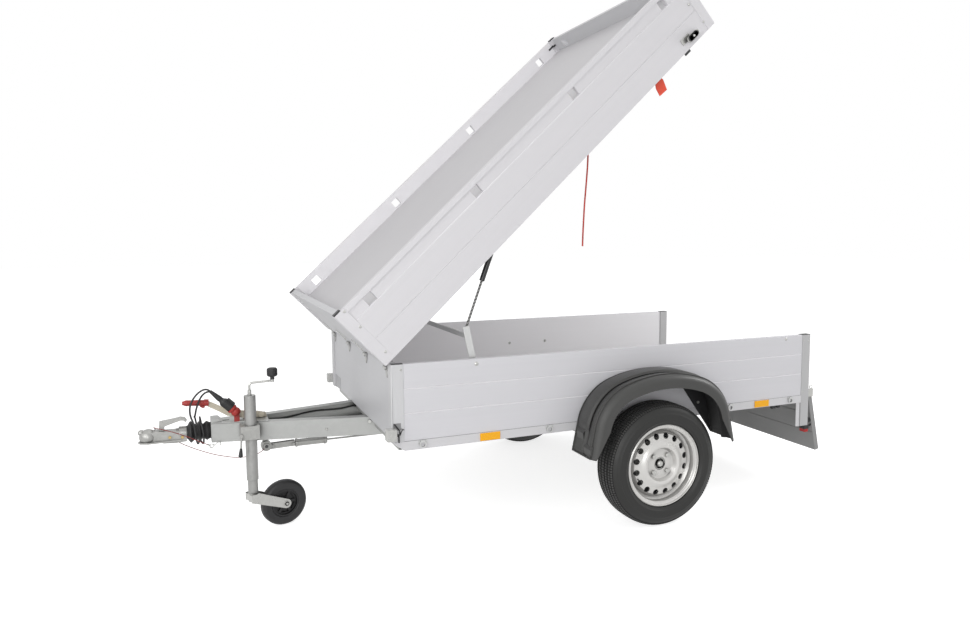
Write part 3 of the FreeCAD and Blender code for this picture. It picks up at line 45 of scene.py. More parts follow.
# Distance along x from the point under the wheels' axis, where measures start, to the frame's origin
originX = 0.4968

camera = {
    "place": (1.8706 - originX, 3.6022, 1.2867),
    "yaw": -115.5,
    "down": 5.6,
    "focal": 773.1,
    "centre": (551.7, 309.5),
    "image": (970, 617),
    "sensor": 36.0,
    "reach": 200,
}


def setCamera(s):
    data = bpy.data.cameras.new("camera")
    eye = bpy.data.objects.new("camera", data)
    bpy.context.scene.collection.objects.link(eye)
    wide, high = s["image"]
    data.sensor_width = s["sensor"]
    data.lens = s["sensor"] * s["focal"] / wide
    data.shift_x = (wide / 2 - s["centre"][0]) / wide
    data.shift_y = (s["centre"][1] - high / 2) / wide
    data.clip_end = s["reach"]
    eye.location = s["place"]
    eye.rotation_euler = (math.radians(90 - s["down"]), 0, math.radians(s["yaw"] - 90))
    bpy.context.scene.camera = eye


setCamera(camera)

# A CAD node's own mesh is loose triangles, so a merged copy of it is dressed and shown in its place.
# Lengths here are in metres

copying = {
    "mergeWithin": 1e-5,
    "flatWithin": math.radians(0.4),
    "crease": math.radians(32),
    "bevel": 0.0008,
    "segments": 2,
}


# A merged copy of a CAD node that replaces it, its sharp edges marked and rounded off by the bevel
def copyNode(name, s, bevel):
    bm = bmesh.new()
    bm.from_mesh(nodes[name].data)
    bmesh.ops.remove_doubles(bm, verts=bm.verts, dist=s["mergeWithin"])
    bmesh.ops.dissolve_limit(bm, angle_limit=s["flatWithin"], verts=bm.verts, edges=bm.edges)
    mesh = bpy.data.meshes.new(name + "Shown")
    bm.to_mesh(mesh)
    bm.free()
    for label in ("custom_normal", "sharp_edge", "sharp_face"):
        if label in mesh.attributes:
            mesh.attributes.remove(mesh.attributes[label])
    mesh.materials.clear()
    mesh.set_sharp_from_angle(angle=s["crease"])
    piece = bpy.data.objects.new(name + "Shown", mesh)
    bpy.context.scene.collection.objects.link(piece)
    if bevel:
        rounded = piece.modifiers.new("bevel", "BEVEL")
        rounded.width = bevel
        rounded.segments = s["segments"]
        rounded.limit_method = "ANGLE"
        rounded.angle_limit = s["crease"]
    flat = piece.modifiers.new("flatFaces", "WEIGHTED_NORMAL")
    flat.keep_sharp = True
    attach(piece, bodyOf[name])
    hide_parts(name)
    return piece


bodyOf = {n: body for body, names in frame["record"]["behaviour"]["bodies"].items() for n in names}
slots = {part["node"]: part["material_slot"] for part in frame["record"]["subparts"]}
shown = {name: copyNode(name, copying, 0.0006) for name in ("plug", "breakaway_hook")}

# Cables and cords: each route gives its points in millimetres from its own "from", as the part's source does

drawbarTip = (1.790 - originX, 0, 0.480)
cordEye = (0.2619 - originX, 0.633, 1.7061)
cordMesh = {"along": 12, "around": 4, "order": 3}

cables = {
    "plugCable": {
        "node": "plug_cable", "body": "chassis", "slot": "black_rubber", "radius": 0.0038,
        "ends": "object", "lay": "loose", "stiffness": "medium", "with": ["plug"], "from": drawbarTip,
        "route": [
            (-1.7, 62, 141.6), (5.2, 62, 148.5), (18, 61, 151), (32, 60, 146.5), (46, 60, 136),
            (58, 60, 123), (68, 60, 108), (76, 60, 91), (79.5, 60, 72), (79.4, 59.5, 52), (76, 58, 32),
            (68, 57, 12), (63, 55, -17), (60, 54, -48), (57, 42, -77), (53, 15, -93), (49, -16, -94),
            (45, -43, -77), (42, -57, -48), (41, -55, -17), (41, -38, 8), (42, -10, 21), (41, 18, 20),
            (38, 42, 4), (33, 54, -22), (30, 54, -50), (30, 41, -77), (32, 14, -94), (37, -20, -98),
            (45, -52, -83), (52, -68, -48), (57, -62, -14), (60, -42, 10), (62, -16, 23), (63, 10, 25),
            (62, 30, 29), (59, 42, 42), (56, 46, 60), (50, 46, 81), (42, 46, 102), (32, 46, 120),
            (19.5, 45.5, 132.5), (4, 44, 137.5), (-10.5, 41, 132.5), (-22, 38, 120), (-33, 36, 102),
            (-55, 33, 80), (-78, 33, 60), (-94, 36, 38), (-102, 36, 21), (-106, 36, 7.5), (-106, 36, -6)],
    },
    "breakawayCable": {
        "node": "breakaway_cable", "body": "chassis", "slot": "coated_cable", "radius": 0.0016,
        "ends": "fitting", "lay": "hanging", "stiffness": "medium", "with": ["breakaway_hook"],
        "from": drawbarTip,
        "route": [
            (-222, 27.7, -134), (-206, 31, -149), (-179, 28, -164), (-140, 22, -172), (-96, 16, -171),
            (-52, 8, -162), (-8, 0, -150), (34, -10, -134), (72, -20, -118), (108, -30, -100),
            (142, -38, -80), (172, -44, -62), (198, -43, -40), (216, -30, -18), (222, -5, -6),
            (213, 20, -4), (191, 34, -9), (160, 44, -18), (124, 60, -30), (90, 72, -44), (60, 76, -60),
            (36, 73, -75), (16, 62, -88)],
    },
    "pullCord": {
        "node": "pull_cord", "body": "lid", "slot": "red_cord", "radius": 0.0035, "ends": "knot",
        "lay": "hanging", "stiffness": "limp", "with": [], "from": cordEye,
        "route": [
            (0, 0, 0), (0, -15, 0), (1, -27, -12), (2, -32, -32), (2, -33, -66), (4, -32, -116),
            (8, -33, -176), (14, -32, -236), (19, -33, -296), (23, -32, -358), (26, -33, -418),
            (28, -32, -474)],
    },
}


# A cable's points in the frame
def routePoints(s):
    return [Vector(s["from"]) + Vector(p) / 1000 for p in s["route"]]


def splineLength(curveObject):
    bare = curveObject.data.copy()
    bare.bevel_depth = 0
    holder = bpy.data.objects.new("measure", bare)
    mesh = bpy.data.meshes.new_from_object(holder)
    spot = [v.co for v in mesh.vertices]
    total = sum((spot[e.vertices[0]] - spot[e.vertices[1]]).length for e in mesh.edges)
    bpy.data.objects.remove(holder)
    bpy.data.meshes.remove(mesh)
    return total


def makeCable(name, s, detail):
    data = bpy.data.curves.new(name, "CURVE")
    data.dimensions = "3D"
    data.resolution_u = detail["along"]
    data.bevel_depth = s["radius"]
    data.bevel_resolution = detail["around"]
    data.use_fill_caps = True
    spline = data.splines.new("NURBS")
    points = routePoints(s)
    spline.points.add(len(points) - 1)
    for handle, p in zip(spline.points, points):
        handle.co = (*p, 1)
    spline.order_u = detail["order"]
    spline.use_endpoint_u = True
    cable = bpy.data.objects.new(name, data)
    bpy.context.scene.collection.objects.link(cable)
    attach(cable, s["body"])
    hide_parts(s["node"])
    splineLength(cable)
    return cable


made = {name: makeCable(name, s, cordMesh) for name, s in cables.items()}
print("cables:", {name: round(splineLength(c), 3) for name, c in made.items()})


def addNode(tree, kind, **inputs):
    node = tree.nodes.new(kind)
    for name, value in inputs.items():
        node.inputs[name].default_value = value
    return node


# A shader node group with its sockets; inputs are (name, kind, value) and outputs (name, kind)
def makeGroup(name, inputs, outputs):
    group = bpy.data.node_groups.new(name, "ShaderNodeTree")
    for label, kind, value in inputs:
        socket = group.interface.new_socket(name=label, in_out="INPUT", socket_type=kind)
        if value is not None:
            socket.default_value = value
    for label, kind in outputs:
        group.interface.new_socket(name=label, in_out="OUTPUT", socket_type=kind)
    entry = group.nodes.new("NodeGroupInput")
    leave = group.nodes.new("NodeGroupOutput")
    return group, entry, leave


# Fine lines along a drawn profile (its X), and broad faint streaks
def drawnLines():
    group, entry, leave = makeGroup(
        "drawnLines",
        [("Vector", "NodeSocketVector", None), ("Fineness", "NodeSocketFloat", 700.0),
         ("Stretch", "NodeSocketFloat", 0.003)],
        [("Height", "NodeSocketFloat"), ("Streaks", "NodeSocketFloat")])
    link = group.links.new
    split = addNode(group, "ShaderNodeSeparateXYZ")
    along = addNode(group, "ShaderNodeMath")
    along.operation = "MULTIPLY"
    join = addNode(group, "ShaderNodeCombineXYZ")
    link(entry.outputs["Vector"], split.inputs[0])
    link(split.outputs["X"], along.inputs[0])
    link(entry.outputs["Stretch"], along.inputs[1])
    link(along.outputs[0], join.inputs["X"])
    link(split.outputs["Y"], join.inputs["Y"])
    link(split.outputs["Z"], join.inputs["Z"])
    fine = addNode(group, "ShaderNodeTexNoise", Detail=2.0)
    link(join.outputs[0], fine.inputs["Vector"])
    link(entry.outputs["Fineness"], fine.inputs["Scale"])
    broad = addNode(group, "ShaderNodeTexNoise", Scale=34.0, Detail=4.0, Roughness=0.7)
    link(join.outputs[0], broad.inputs["Vector"])
    link(fine.outputs["Fac"], leave.inputs["Height"])
    link(broad.outputs["Fac"], leave.inputs["Streaks"])
    return group


# Faint smudges and dust that vary over a surface, from 0 to 1, and a fine grit
def handling():
    group, entry, leave = makeGroup(
        "handling",
        [("Vector", "NodeSocketVector", None), ("Scale", "NodeSocketFloat", 3.0),
         ("Fineness", "NodeSocketFloat", 700.0)],
        [("Mask", "NodeSocketFloat"), ("Grit", "NodeSocketFloat")])
    link = group.links.new
    cloud = addNode(group, "ShaderNodeTexNoise", Detail=6.0, Roughness=0.62)
    link(entry.outputs["Vector"], cloud.inputs["Vector"])
    link(entry.outputs["Scale"], cloud.inputs["Scale"])
    limit = addNode(group, "ShaderNodeMapRange", **{"From Min": 0.36, "From Max": 0.72})
    link(cloud.outputs["Fac"], limit.inputs["Value"])
    grit = addNode(group, "ShaderNodeTexNoise", Detail=2.0)
    link(entry.outputs["Vector"], grit.inputs["Vector"])
    link(entry.outputs["Fineness"], grit.inputs["Scale"])
    link(limit.outputs["Result"], leave.inputs["Mask"])
    link(grit.outputs["Fac"], leave.inputs["Grit"])
    return group


spangle = {"warp": 0.04, "cloudShare": 0.65}


# Crystal patches of a hot-dip zinc coat
def zincSpangle(s):
    group, entry, leave = makeGroup(
        "zincSpangle",
        [("Vector", "NodeSocketVector", None), ("Scale", "NodeSocketFloat", 70.0)],
        [("Patch", "NodeSocketFloat"), ("Height", "NodeSocketFloat")])
    link = group.links.new
    warp = addNode(group, "ShaderNodeTexNoise", Scale=24.0, Detail=3.0)
    link(entry.outputs["Vector"], warp.inputs["Vector"])
    mixed = addNode(group, "ShaderNodeMix")
    mixed.data_type = "VECTOR"
    mixed.inputs[0].default_value = s["warp"]
    link(entry.outputs["Vector"], mixed.inputs[4])
    link(warp.outputs["Color"], mixed.inputs[5])
    cells = addNode(group, "ShaderNodeTexVoronoi")
    link(mixed.outputs[1], cells.inputs["Vector"])
    link(entry.outputs["Scale"], cells.inputs["Scale"])
    bright = addNode(group, "ShaderNodeSeparateColor")
    link(cells.outputs["Color"], bright.inputs[0])
    cloud = addNode(group, "ShaderNodeTexNoise", Scale=14.0, Detail=5.0)
    link(entry.outputs["Vector"], cloud.inputs["Vector"])
    both = addNode(group, "ShaderNodeMix")
    both.inputs[0].default_value = s["cloudShare"]
    link(bright.outputs[0], both.inputs[2])
    link(cloud.outputs["Fac"], both.inputs[3])
    grain = addNode(group, "ShaderNodeTexNoise", Scale=420.0, Detail=4.0)
    link(entry.outputs["Vector"], grain.inputs["Vector"])
    link(both.outputs[0], leave.inputs["Patch"])
    link(grain.outputs["Fac"], leave.inputs["Height"])
    return group


groups = {"drawnLines": drawnLines(), "handling": handling(), "zincSpangle": zincSpangle(spangle)}

# Samples and range of the painted shade in corners and recesses
recess = {"samples": 6, "range": (0.25, 0.9)}


# One material being built: its tree, its Principled shader and a few ways to join nodes
class Finish:
    def __init__(self, name, colour, rough, metal=0.0, **sockets):
        self.material = bpy.data.materials.new(name)
        self.material.use_nodes = True
        self.tree = self.material.node_tree
        self.shader = self.tree.nodes["Principled BSDF"]
        self.shader.inputs["Base Color"].default_value = (*colour, 1)
        self.shader.inputs["Roughness"].default_value = rough
        self.shader.inputs["Metallic"].default_value = metal
        for label, value in sockets.items():
            self.shader.inputs[label].default_value = value
        self.material.diffuse_color = (*colour, 1)
        self.position = self.tree.nodes.new("ShaderNodeTexCoord").outputs["Object"]

    def group(self, name, vector=None, **inputs):
        node = self.tree.nodes.new("ShaderNodeGroup")
        node.node_tree = groups[name]
        self.tree.links.new(vector or self.position, node.inputs["Vector"])
        for label, value in inputs.items():
            node.inputs[label].default_value = value
        return node

    def turned(self, angles):
        mapping = addNode(self.tree, "ShaderNodeMapping")
        mapping.inputs["Rotation"].default_value = [math.radians(a) for a in angles]
        self.tree.links.new(self.position, mapping.inputs["Vector"])
        return mapping.outputs[0]

    def ranged(self, source, low, high, goal):
        node = addNode(self.tree, "ShaderNodeMapRange", **{"To Min": low, "To Max": high})
        self.tree.links.new(source, node.inputs["Value"])
        self.tree.links.new(node.outputs["Result"], self.shader.inputs[goal])

    def tinted(self, source, first, second):
        mix = addNode(self.tree, "ShaderNodeMix")
        mix.data_type = "RGBA"
        mix.inputs[6].default_value = (*first, 1)
        mix.inputs[7].default_value = (*second, 1)
        self.tree.links.new(source, mix.inputs[0])
        self.tree.links.new(mix.outputs[2], self.shader.inputs["Base Color"])

    def bumped(self, source, strength, distance):
        bump = addNode(self.tree, "ShaderNodeBump", Strength=strength, Distance=distance)
        self.tree.links.new(source, bump.inputs["Height"])
        self.tree.links.new(bump.outputs["Normal"], self.shader.inputs["Normal"])

    # Painted shade: darkens the colour in corners and recesses
    def shadeRecesses(self, reach, low):
        near = addNode(self.tree, "ShaderNodeAmbientOcclusion", Distance=reach)
        near.samples = recess["samples"]
        shut, clear = recess["range"]
        depth = addNode(self.tree, "ShaderNodeMapRange",
                        **{"From Min": shut, "From Max": clear, "To Min": low})
        self.tree.links.new(near.outputs["AO"], depth.inputs["Value"])
        mix = addNode(self.tree, "ShaderNodeMix")
        mix.data_type = "RGBA"
        mix.blend_type = "MULTIPLY"
        mix.inputs[0].default_value = 1.0
        goal = self.shader.inputs["Base Color"]
        self.tree.links.new(goal.links[0].from_socket, mix.inputs[6])
        self.tree.links.new(depth.outputs["Result"], mix.inputs[7])
        self.tree.links.new(mix.outputs[2], goal)


def shade(colour, by):
    return tuple(min(1.0, c * by) for c in colour)


def shades(colour, spread):
    return shade(colour, 1 - spread), shade(colour, 1 + spread)


# Amounts shared by all finishes of a kind: how far the roughness goes each way, strength and height of bumps,
# reach and shade of recesses, scale of smudges
kinds = {
    "plank": {"smudge": 1.7, "smooth": 0.05, "dull": 0.10, "bump": (0.08, 0.0003)},
    "zinc": {"smooth": 0.06, "dull": 0.12, "bump": (0.10, 0.0005), "recess": (0.02, 0.35)},
    "moulded": {"smooth": 0.05, "dull": 0.12, "height": 0.0006, "recess": (0.06, 0.45)},
    "lens": {"shades": (0.86, 1.08), "bump": (0.3, 0.0008),
             "sockets": {"Coat Weight": 0.15, "Coat Roughness": 0.05, "Specular IOR Level": 0.3}},
    "braid": {"leans": (35, -35), "wander": 0.4, "smudge": 40.0, "shades": (0.8, 1.15),
              "bump": (0.5, 0.0006)},
    "spiral": {"ownPitch": 2 * math.pi / 20, "smudge": 60.0, "rough": (0.30, 0.45), "bump": (0.6, 0.0010)},
}


# Anodised plank: lines along the profile, faint streaks and smudges
def plankFinish(name, colour, angles, spread=0.035, metal=0.12, rough=0.5):
    s = kinds["plank"]
    f = Finish(name, colour, rough, metal)
    lines = f.group("drawnLines", f.turned(angles))
    smudge = f.group("handling", Scale=s["smudge"])
    f.tinted(lines.outputs["Streaks"], *shades(colour, spread))
    f.ranged(smudge.outputs["Mask"], rough - s["smooth"], rough + s["dull"], "Roughness")
    f.bumped(lines.outputs["Height"], *s["bump"])
    return f.material


def zincFinish(name, colour, scale, spread, metal, rough):
    s = kinds["zinc"]
    f = Finish(name, colour, rough, metal)
    coat = f.group("zincSpangle", Scale=scale)
    f.tinted(coat.outputs["Patch"], *shades(colour, spread))
    f.ranged(coat.outputs["Patch"], rough - s["smooth"], rough + s["dull"], "Roughness")
    f.bumped(coat.outputs["Height"], *s["bump"])
    f.shadeRecesses(*s["recess"])
    return f.material


def mouldedFinish(name, colour, rough, spread=0.25, grain=0.2, scale=2.5, fineness=700.0, **sockets):
    s = kinds["moulded"]
    f = Finish(name, colour, rough, **sockets)
    marks = f.group("handling", Scale=scale, Fineness=fineness)
    f.tinted(marks.outputs["Mask"], *shades(colour, spread))
    f.ranged(marks.outputs["Mask"], rough - s["smooth"], rough + s["dull"], "Roughness")
    f.bumped(marks.outputs["Grit"], grain, s["height"])
    f.shadeRecesses(*s["recess"])
    return f.material


# Ribbed lens: a fine bed of prisms under a clear face
def lensFinish(name, colour, rough, pitch):
    s = kinds["lens"]
    f = Finish(name, colour, rough, **s["sockets"])
    cells = addNode(f.tree, "ShaderNodeTexVoronoi", Scale=pitch)
    f.tree.links.new(f.position, cells.inputs["Vector"])
    f.tinted(cells.outputs["Distance"], *[shade(colour, by) for by in s["shades"]])
    f.bumped(cells.outputs["Distance"], *s["bump"])
    return f.material


# A braided cord: two crossing sets of strands
def braidFinish(name, colour, rough, pitch):
    s = kinds["braid"]
    f = Finish(name, colour, rough)
    marks = f.group("handling", Scale=s["smudge"])
    weave = addNode(f.tree, "ShaderNodeMath")
    weave.operation = "MAXIMUM"
    for k, lean in enumerate(s["leans"]):
        wave = addNode(f.tree, "ShaderNodeTexWave", Scale=pitch, Distortion=s["wander"])
        f.tree.links.new(f.turned((lean, lean, 0)), wave.inputs["Vector"])
        f.tree.links.new(wave.outputs["Fac"], weave.inputs[k])
    f.tinted(marks.outputs["Mask"], *[shade(colour, by) for by in s["shades"]])
    f.bumped(weave.outputs[0], *s["bump"])
    return f.material


# A dark rod with a light spiral; its bands lie across the given turn and are a pitch apart
def spiralFinish(name, colour, stripe, rough, angles, pitch):
    s = kinds["spiral"]
    f = Finish(name, colour, rough)
    wave = addNode(f.tree, "ShaderNodeTexWave", Scale=s["ownPitch"] / pitch, Distortion=0.0)
    f.tree.links.new(f.turned(angles), wave.inputs["Vector"])
    marks = f.group("handling", Scale=s["smudge"])
    f.tinted(wave.outputs["Fac"], colour, stripe)
    f.ranged(marks.outputs["Mask"], *s["rough"], "Roughness")
    f.bumped(wave.outputs["Fac"], *s["bump"])
    return f.material


# After the colour, planks give their turn, spread, metal and roughness, zinc its scale, spread, metal and
# roughness, and mouldings their roughness, spread, grain, scale and fineness
lidTurn = (0, -43.7, 0)
finishes = {
    "aluminium_plank": plankFinish("plankAlong", (0.63, 0.625, 0.65), (0, 0, 0)),
    "plankAcross": plankFinish("plankAcross", (0.56, 0.56, 0.575), (0, 0, 90)),
    # The tailgate's planks are painted dark, as painted shade for the shadow of the body that it hangs in
    "gatePlankShade": plankFinish("gatePlankShade", (0.27, 0.27, 0.27), (0, 0, 90)),
    "lidPlank": plankFinish("lidPlank", (0.66, 0.65, 0.67), lidTurn),
    "lidSheet": plankFinish("lidSheet", (0.56, 0.55, 0.565), lidTurn, 0.02, 0.1, 0.55),
    # A pale copy of the plank finish, for painted highlights and painted light
    "paintedLight": plankFinish("paintedLight", (0.80, 0.79, 0.81), (0, 0, 0), 0.02, 0.0, 0.5),
    "railLight": plankFinish("railLight", (0.62, 0.615, 0.63), (0, 0, 0), 0.04, 0.12, 0.5),
    "aluminium_post": plankFinish("postBright", (0.58, 0.58, 0.59), (0, 90, 0), 0.03, 0.15, 0.48),
    # A darker copy of the post finish, painted shade for the rear posts
    "postRearShade": plankFinish("postRearShade", (0.47, 0.47, 0.475), (0, 90, 0), 0.03, 0.15, 0.48),
    "galvanised_steel": zincFinish("galvanised", (0.41, 0.415, 0.405), 55.0, 0.07, 0.6, 0.4),
    "zinc_plated": zincFinish("zincPlate", (0.53, 0.53, 0.51), 150.0, 0.10, 0.75, 0.28),
    "tubeZinc": zincFinish("tubeZinc", (0.37, 0.37, 0.36), 80.0, 0.12, 0.6, 0.34),
    "castZinc": zincFinish("castZinc", (0.40, 0.40, 0.385), 90.0, 0.16, 0.6, 0.36),
    "leverZinc": zincFinish("leverZinc", (0.46, 0.42, 0.34), 120.0, 0.15, 0.6, 0.35),
    "leafZinc": zincFinish("leafZinc", (0.46, 0.46, 0.45), 120.0, 0.10, 0.5, 0.4),
    "bowZinc": zincFinish("bowZinc", (0.60, 0.605, 0.60), 90.0, 0.05, 0.3, 0.4),
    "yellowZinc": zincFinish("yellowZinc", (0.55, 0.40, 0.16), 150.0, 0.08, 0.8, 0.3),
    # Dark grey of the brake drums, also used as painted shade inside the wheels
    "drumGrey": zincFinish("drumGrey", (0.16, 0.16, 0.165), 60.0, 0.25, 0.2, 0.6),
    "floor_board": mouldedFinish("floorBoard", (0.50, 0.49, 0.48), 0.6, 0.05, 0.25, 3.0),
    "black_plastic": mouldedFinish("blackPlastic", (0.016, 0.016, 0.017), 0.5),
    "mudguard_plastic": mouldedFinish("mudguardPlastic", (0.048, 0.048, 0.046), 0.38, 0.08, 0.25, 2.0,
                                      900.0),
    "black_rubber": mouldedFinish("blackRubber", (0.022, 0.022, 0.023), 0.5, 0.2),
    "tyre": mouldedFinish("tyreRubber", (0.011, 0.011, 0.010), 0.46, 0.15, 0.25, 6.0),
    # The mudguards' inner faces, painted near black as painted shade
    "guardInnerShade": mouldedFinish("guardInnerShade", (0.012, 0.012, 0.012), 0.7, 0.2, 0.3, 6.0),
    # Tread blocks painted lighter as painted highlight, and the gaps between them darker as painted shade
    "tyreBlockHighlight": mouldedFinish("tyreBlockHighlight", (0.050, 0.050, 0.048), 0.6, 0.2, 0.25, 9.0),
    "tyreGrooveShade": mouldedFinish("tyreGrooveShade", (0.010, 0.010, 0.010), 0.8, 0.2, 0.25, 9.0),
    "rim_silver": mouldedFinish("rimLacquer", (0.68, 0.67, 0.65), 0.30, 0.04, 0.03, 4.0, Metallic=0.45),
    "red_plastic": mouldedFinish("redPlastic", (0.38, 0.026, 0.022), 0.38, 0.06, 0.08, 8.0),
    "tabRed": mouldedFinish("tabRed", (0.74, 0.075, 0.035), 0.5, 0.06, 0.15, 8.0, 900.0),
    "red_cord": braidFinish("redCord", (0.50, 0.045, 0.03), 0.7, 260.0),
    "amber_lens": lensFinish("amberLens", (0.95, 0.44, 0.008), 0.25, 260.0),
    "clear_lens": lensFinish("clearLens", (0.50, 0.50, 0.485), 0.2, 300.0),
    "red_lens": lensFinish("redLens", (0.40, 0.012, 0.01), 0.2, 300.0),
    "strut_black": mouldedFinish("strutBlack", (0.018, 0.018, 0.019), 0.25, 0.15, 0.03),
    "strut_rod": spiralFinish("strutSpiral", (0.022, 0.022, 0.022), (0.30, 0.30, 0.29), 0.35, (0, 65, 0),
                              0.011),
    "coated_cable": mouldedFinish("cableCoat", (0.20, 0.012, 0.010), 0.35, 0.1, 0.05),
    "white_plastic": mouldedFinish("whitePlastic", (0.72, 0.72, 0.71), 0.4, 0.04, 0.06),
    "darkSteel": mouldedFinish("darkSteel", (0.085, 0.085, 0.087), 0.35, 0.2, 0.05, Metallic=0.5),
    "palePlate": mouldedFinish("palePlate", (0.40, 0.40, 0.41), 0.4, 0.05, 0.04, 5.0),
    "greyPlate": mouldedFinish("greyPlate", (0.26, 0.26, 0.265), 0.4, 0.05, 0.04, 5.0, Metallic=0.3),
}
print("finishes:", len(finishes))


# Paints the faces that a test picks, by their middle and normal, with another finish
def paint(piece, finishName, test):
    piece.data.materials.append(finishes[finishName])
    last = len(piece.data.materials) - 1
    for face in piece.data.polygons:
        if test(face.center, face.normal):
            face.material_index = last


ownFinish = {
    "front_wall": "plankAcross", "tailgate": "gatePlankShade", "lid_sides": "lidPlank", "lid_ends": "plankAcross",
    "lid_sheet": "lidSheet", "lid_pull_tab": "tabRed", "strut_bow": "bowZinc", "lid_posts": "lidPlank",
    "jockey_tube": "tubeZinc", "jockey_stem": "tubeZinc", "jockey_clamp": "castZinc",
    "coupling_head": "castZinc", "coupling_handle": "castZinc", "brake_linkage": "castZinc",
    "handbrake_lever": "leverZinc", "lid_hinge_leaves": "leafZinc", "tie_down_eyes": "bowZinc",
}
bevels = {
    "floor": 0.0005, "mudguards": 0, "side_walls": 0.0014, "lid_sides": 0.0014, "lid_ends": 0.0014,
    "front_wall": 0.0014, "tailgate": 0.002, "corner_posts": 0.001, "lid_posts": 0.001, "lid_sheet": 0,
    "strut_rod_left": 0.0004, "strut_rod_right": 0.0004, "lamp_cable": 0, "bellows": 0.0015,
    "lid_caps": 0.0015, "post_caps": 0.0005, "jockey_tyre": 0.002, "side_reflectors": 0.001,
    "marker_lamps": 0.0015,
}
remade = {"tyre_left", "tyre_right"} | {s["node"] for s in cables.values()}
for name in nodes:
    if name in remade:
        continue
    if name not in shown:
        shown[name] = copyNode(name, copying, bevels.get(name, copying["bevel"]))
    shown[name].data.materials.append(finishes[ownFinish.get(name, slots[name])])
for name, s in cables.items():
    made[name].data.materials.append(finishes[s["slot"]])

# The box in millimetres: its outer side, the front wall's face, the lid's hinge line and lower edge above it,
# the grooves of a side wall by height and those of the lid by distance from its lower edge
box = {
    "side": 660, "front": 1160, "hingeZ": 757, "lidEdge": 26,
    "wallGrooves": (680, 581), "lidGrooves": (106, 206),
}
frontX = box["front"] / 1000 - originX
lidTilt = math.radians(-lidTurn[1])
hubX, hubZ = -originX, 0.274

# Where each painted area begins or ends, in metres; square and archInward are parts of a face's normal
limits = {
    "markerBase": frontX - 0.0137, "lampTop": 0.297, "rail": 0.655, "outerWall": 0.6545, "outerLid": 0.65,
    "farInside": -0.62, "square": 0.9, "archInward": 0.02, "wallGroove": 0.0032, "lidGroove": 0.0035,
    "drum": 0.095, "shadeRingFrom": 0.0148, "shadeRingTo": 0.0236, "rimDish": 0.112, "rimDepth": 0.778,
    "lockRose": 0.656, "rearPost": -1.2,
}


# Height of a point above the open lid's lower edge
def lidHeight(c):
    over = (c.x - frontX) * math.sin(lidTilt) + (c.z - box["hingeZ"] / 1000) * math.cos(lidTilt)
    return over - box["lidEdge"] / 1000


def fromHub(c):
    return math.hypot(c.x - hubX, c.z - hubZ)


def inGroove(v, grooves, half):
    return min(abs(v - g / 1000) for g in grooves) < half


# Inner faces of a wheel arch look towards the hub; they are painted near black as painted shade
def archInside(c, n):
    inward = n.x * (c.x - hubX) + n.z * (c.z - hubZ)
    return inward < -limits["archInward"] * fromHub(c) and abs(n.y) < limits["square"]


# Inner faces of the far side wall and far lid side, painted pale as painted light where the lid shades them
def farInside(c, n):
    return c.y < limits["farInside"] and n.y > limits["square"]


paint(shown["marker_lamps"], "black_plastic", lambda c, n: c.x < limits["markerBase"])
paint(shown["rear_lamps"], "black_plastic", lambda c, n: c.z > limits["lampTop"])
paint(shown["mudguards"], "guardInnerShade", archInside)
paint(shown["body_frame"], "railLight", lambda c, n: abs(c.y) > limits["rail"])
# Painted highlight: the grooves of the outer side walls and lid sides are painted pale, so they show as
# bright lines; the far inner faces are painted pale as painted light
paint(shown["side_walls"], "paintedLight", lambda c, n: (
    abs(c.y) > limits["outerWall"] and inGroove(c.z, box["wallGrooves"], limits["wallGroove"])))
paint(shown["side_walls"], "paintedLight", farInside)
paint(shown["lid_sides"], "paintedLight", farInside)
paint(shown["lid_sides"], "paintedLight", lambda c, n: (
    abs(c.y) > limits["outerLid"] and inGroove(lidHeight(c), box["lidGrooves"], limits["lidGroove"])))
# Painted shade: the hub beyond its middle and the rim's inner barrel are painted dark grey, partly the drum's
# own dark paint and partly the shade inside the wheel
for side in ("left", "right"):
    paint(shown["hub_" + side], "drumGrey", lambda c, n: fromHub(c) > limits["drum"])
    # The walls of the recess round the hub's cap are painted black as painted shade
    paint(shown["hub_" + side], "black_rubber", lambda c, n: (
        limits["shadeRingFrom"] < fromHub(c) < limits["shadeRingTo"]))
    paint(shown["rim_" + side], "drumGrey", lambda c, n: (
        fromHub(c) > limits["rimDish"] and abs(c.y) < limits["rimDepth"]))
paint(shown["lid_locks"], "darkSteel", lambda c, n: abs(c.y) < limits["lockRose"])
# The rear corner posts are painted darker as painted shade
paint(shown["corner_posts"], "postRearShade", lambda c, n: c.x < limits["rearPost"])
print("CAD nodes dressed:", len(shown))


# Road tyres: a spun section with rings on the wall, its tread cut into blocks. The section gives the distance
# from the axle and from the tyre's middle in millimetres, down to the bead and back along the liner

tyre = {
    "centre": (hubX, 0.763, hubZ),
    "steps": 144,
    "half": [(270, 10), (266, 11.5), (266, 16), (269.8, 17.5), (269.6, 33), (265.6, 34.5), (265.6, 39),
             (268.6, 40.5), (265.8, 53), (259, 63), (251, 70), (242, 74), (232, 76), (231, 76.8),
             (229, 76.8), (228, 76.2), (214, 76.4), (204, 75.4), (202, 76), (199, 75.8), (197, 74),
             (190, 70.5), (185.5, 68), (184, 58), (167.3, 56)],
    "liner": [(178, 55), (215, 66), (250, 58), (259, 30)],
    "treadFrom": 0.2575,
    "treadHalf": 0.068,
    "treadOutward": 0.45,
    "blockArea": 5e-5,
    "gap": 0.0022,
    "height": 0.0038,
    "crease": math.radians(28),
    "finishes": ("tyre", "tyreBlockHighlight", "tyreGrooveShade"),
}


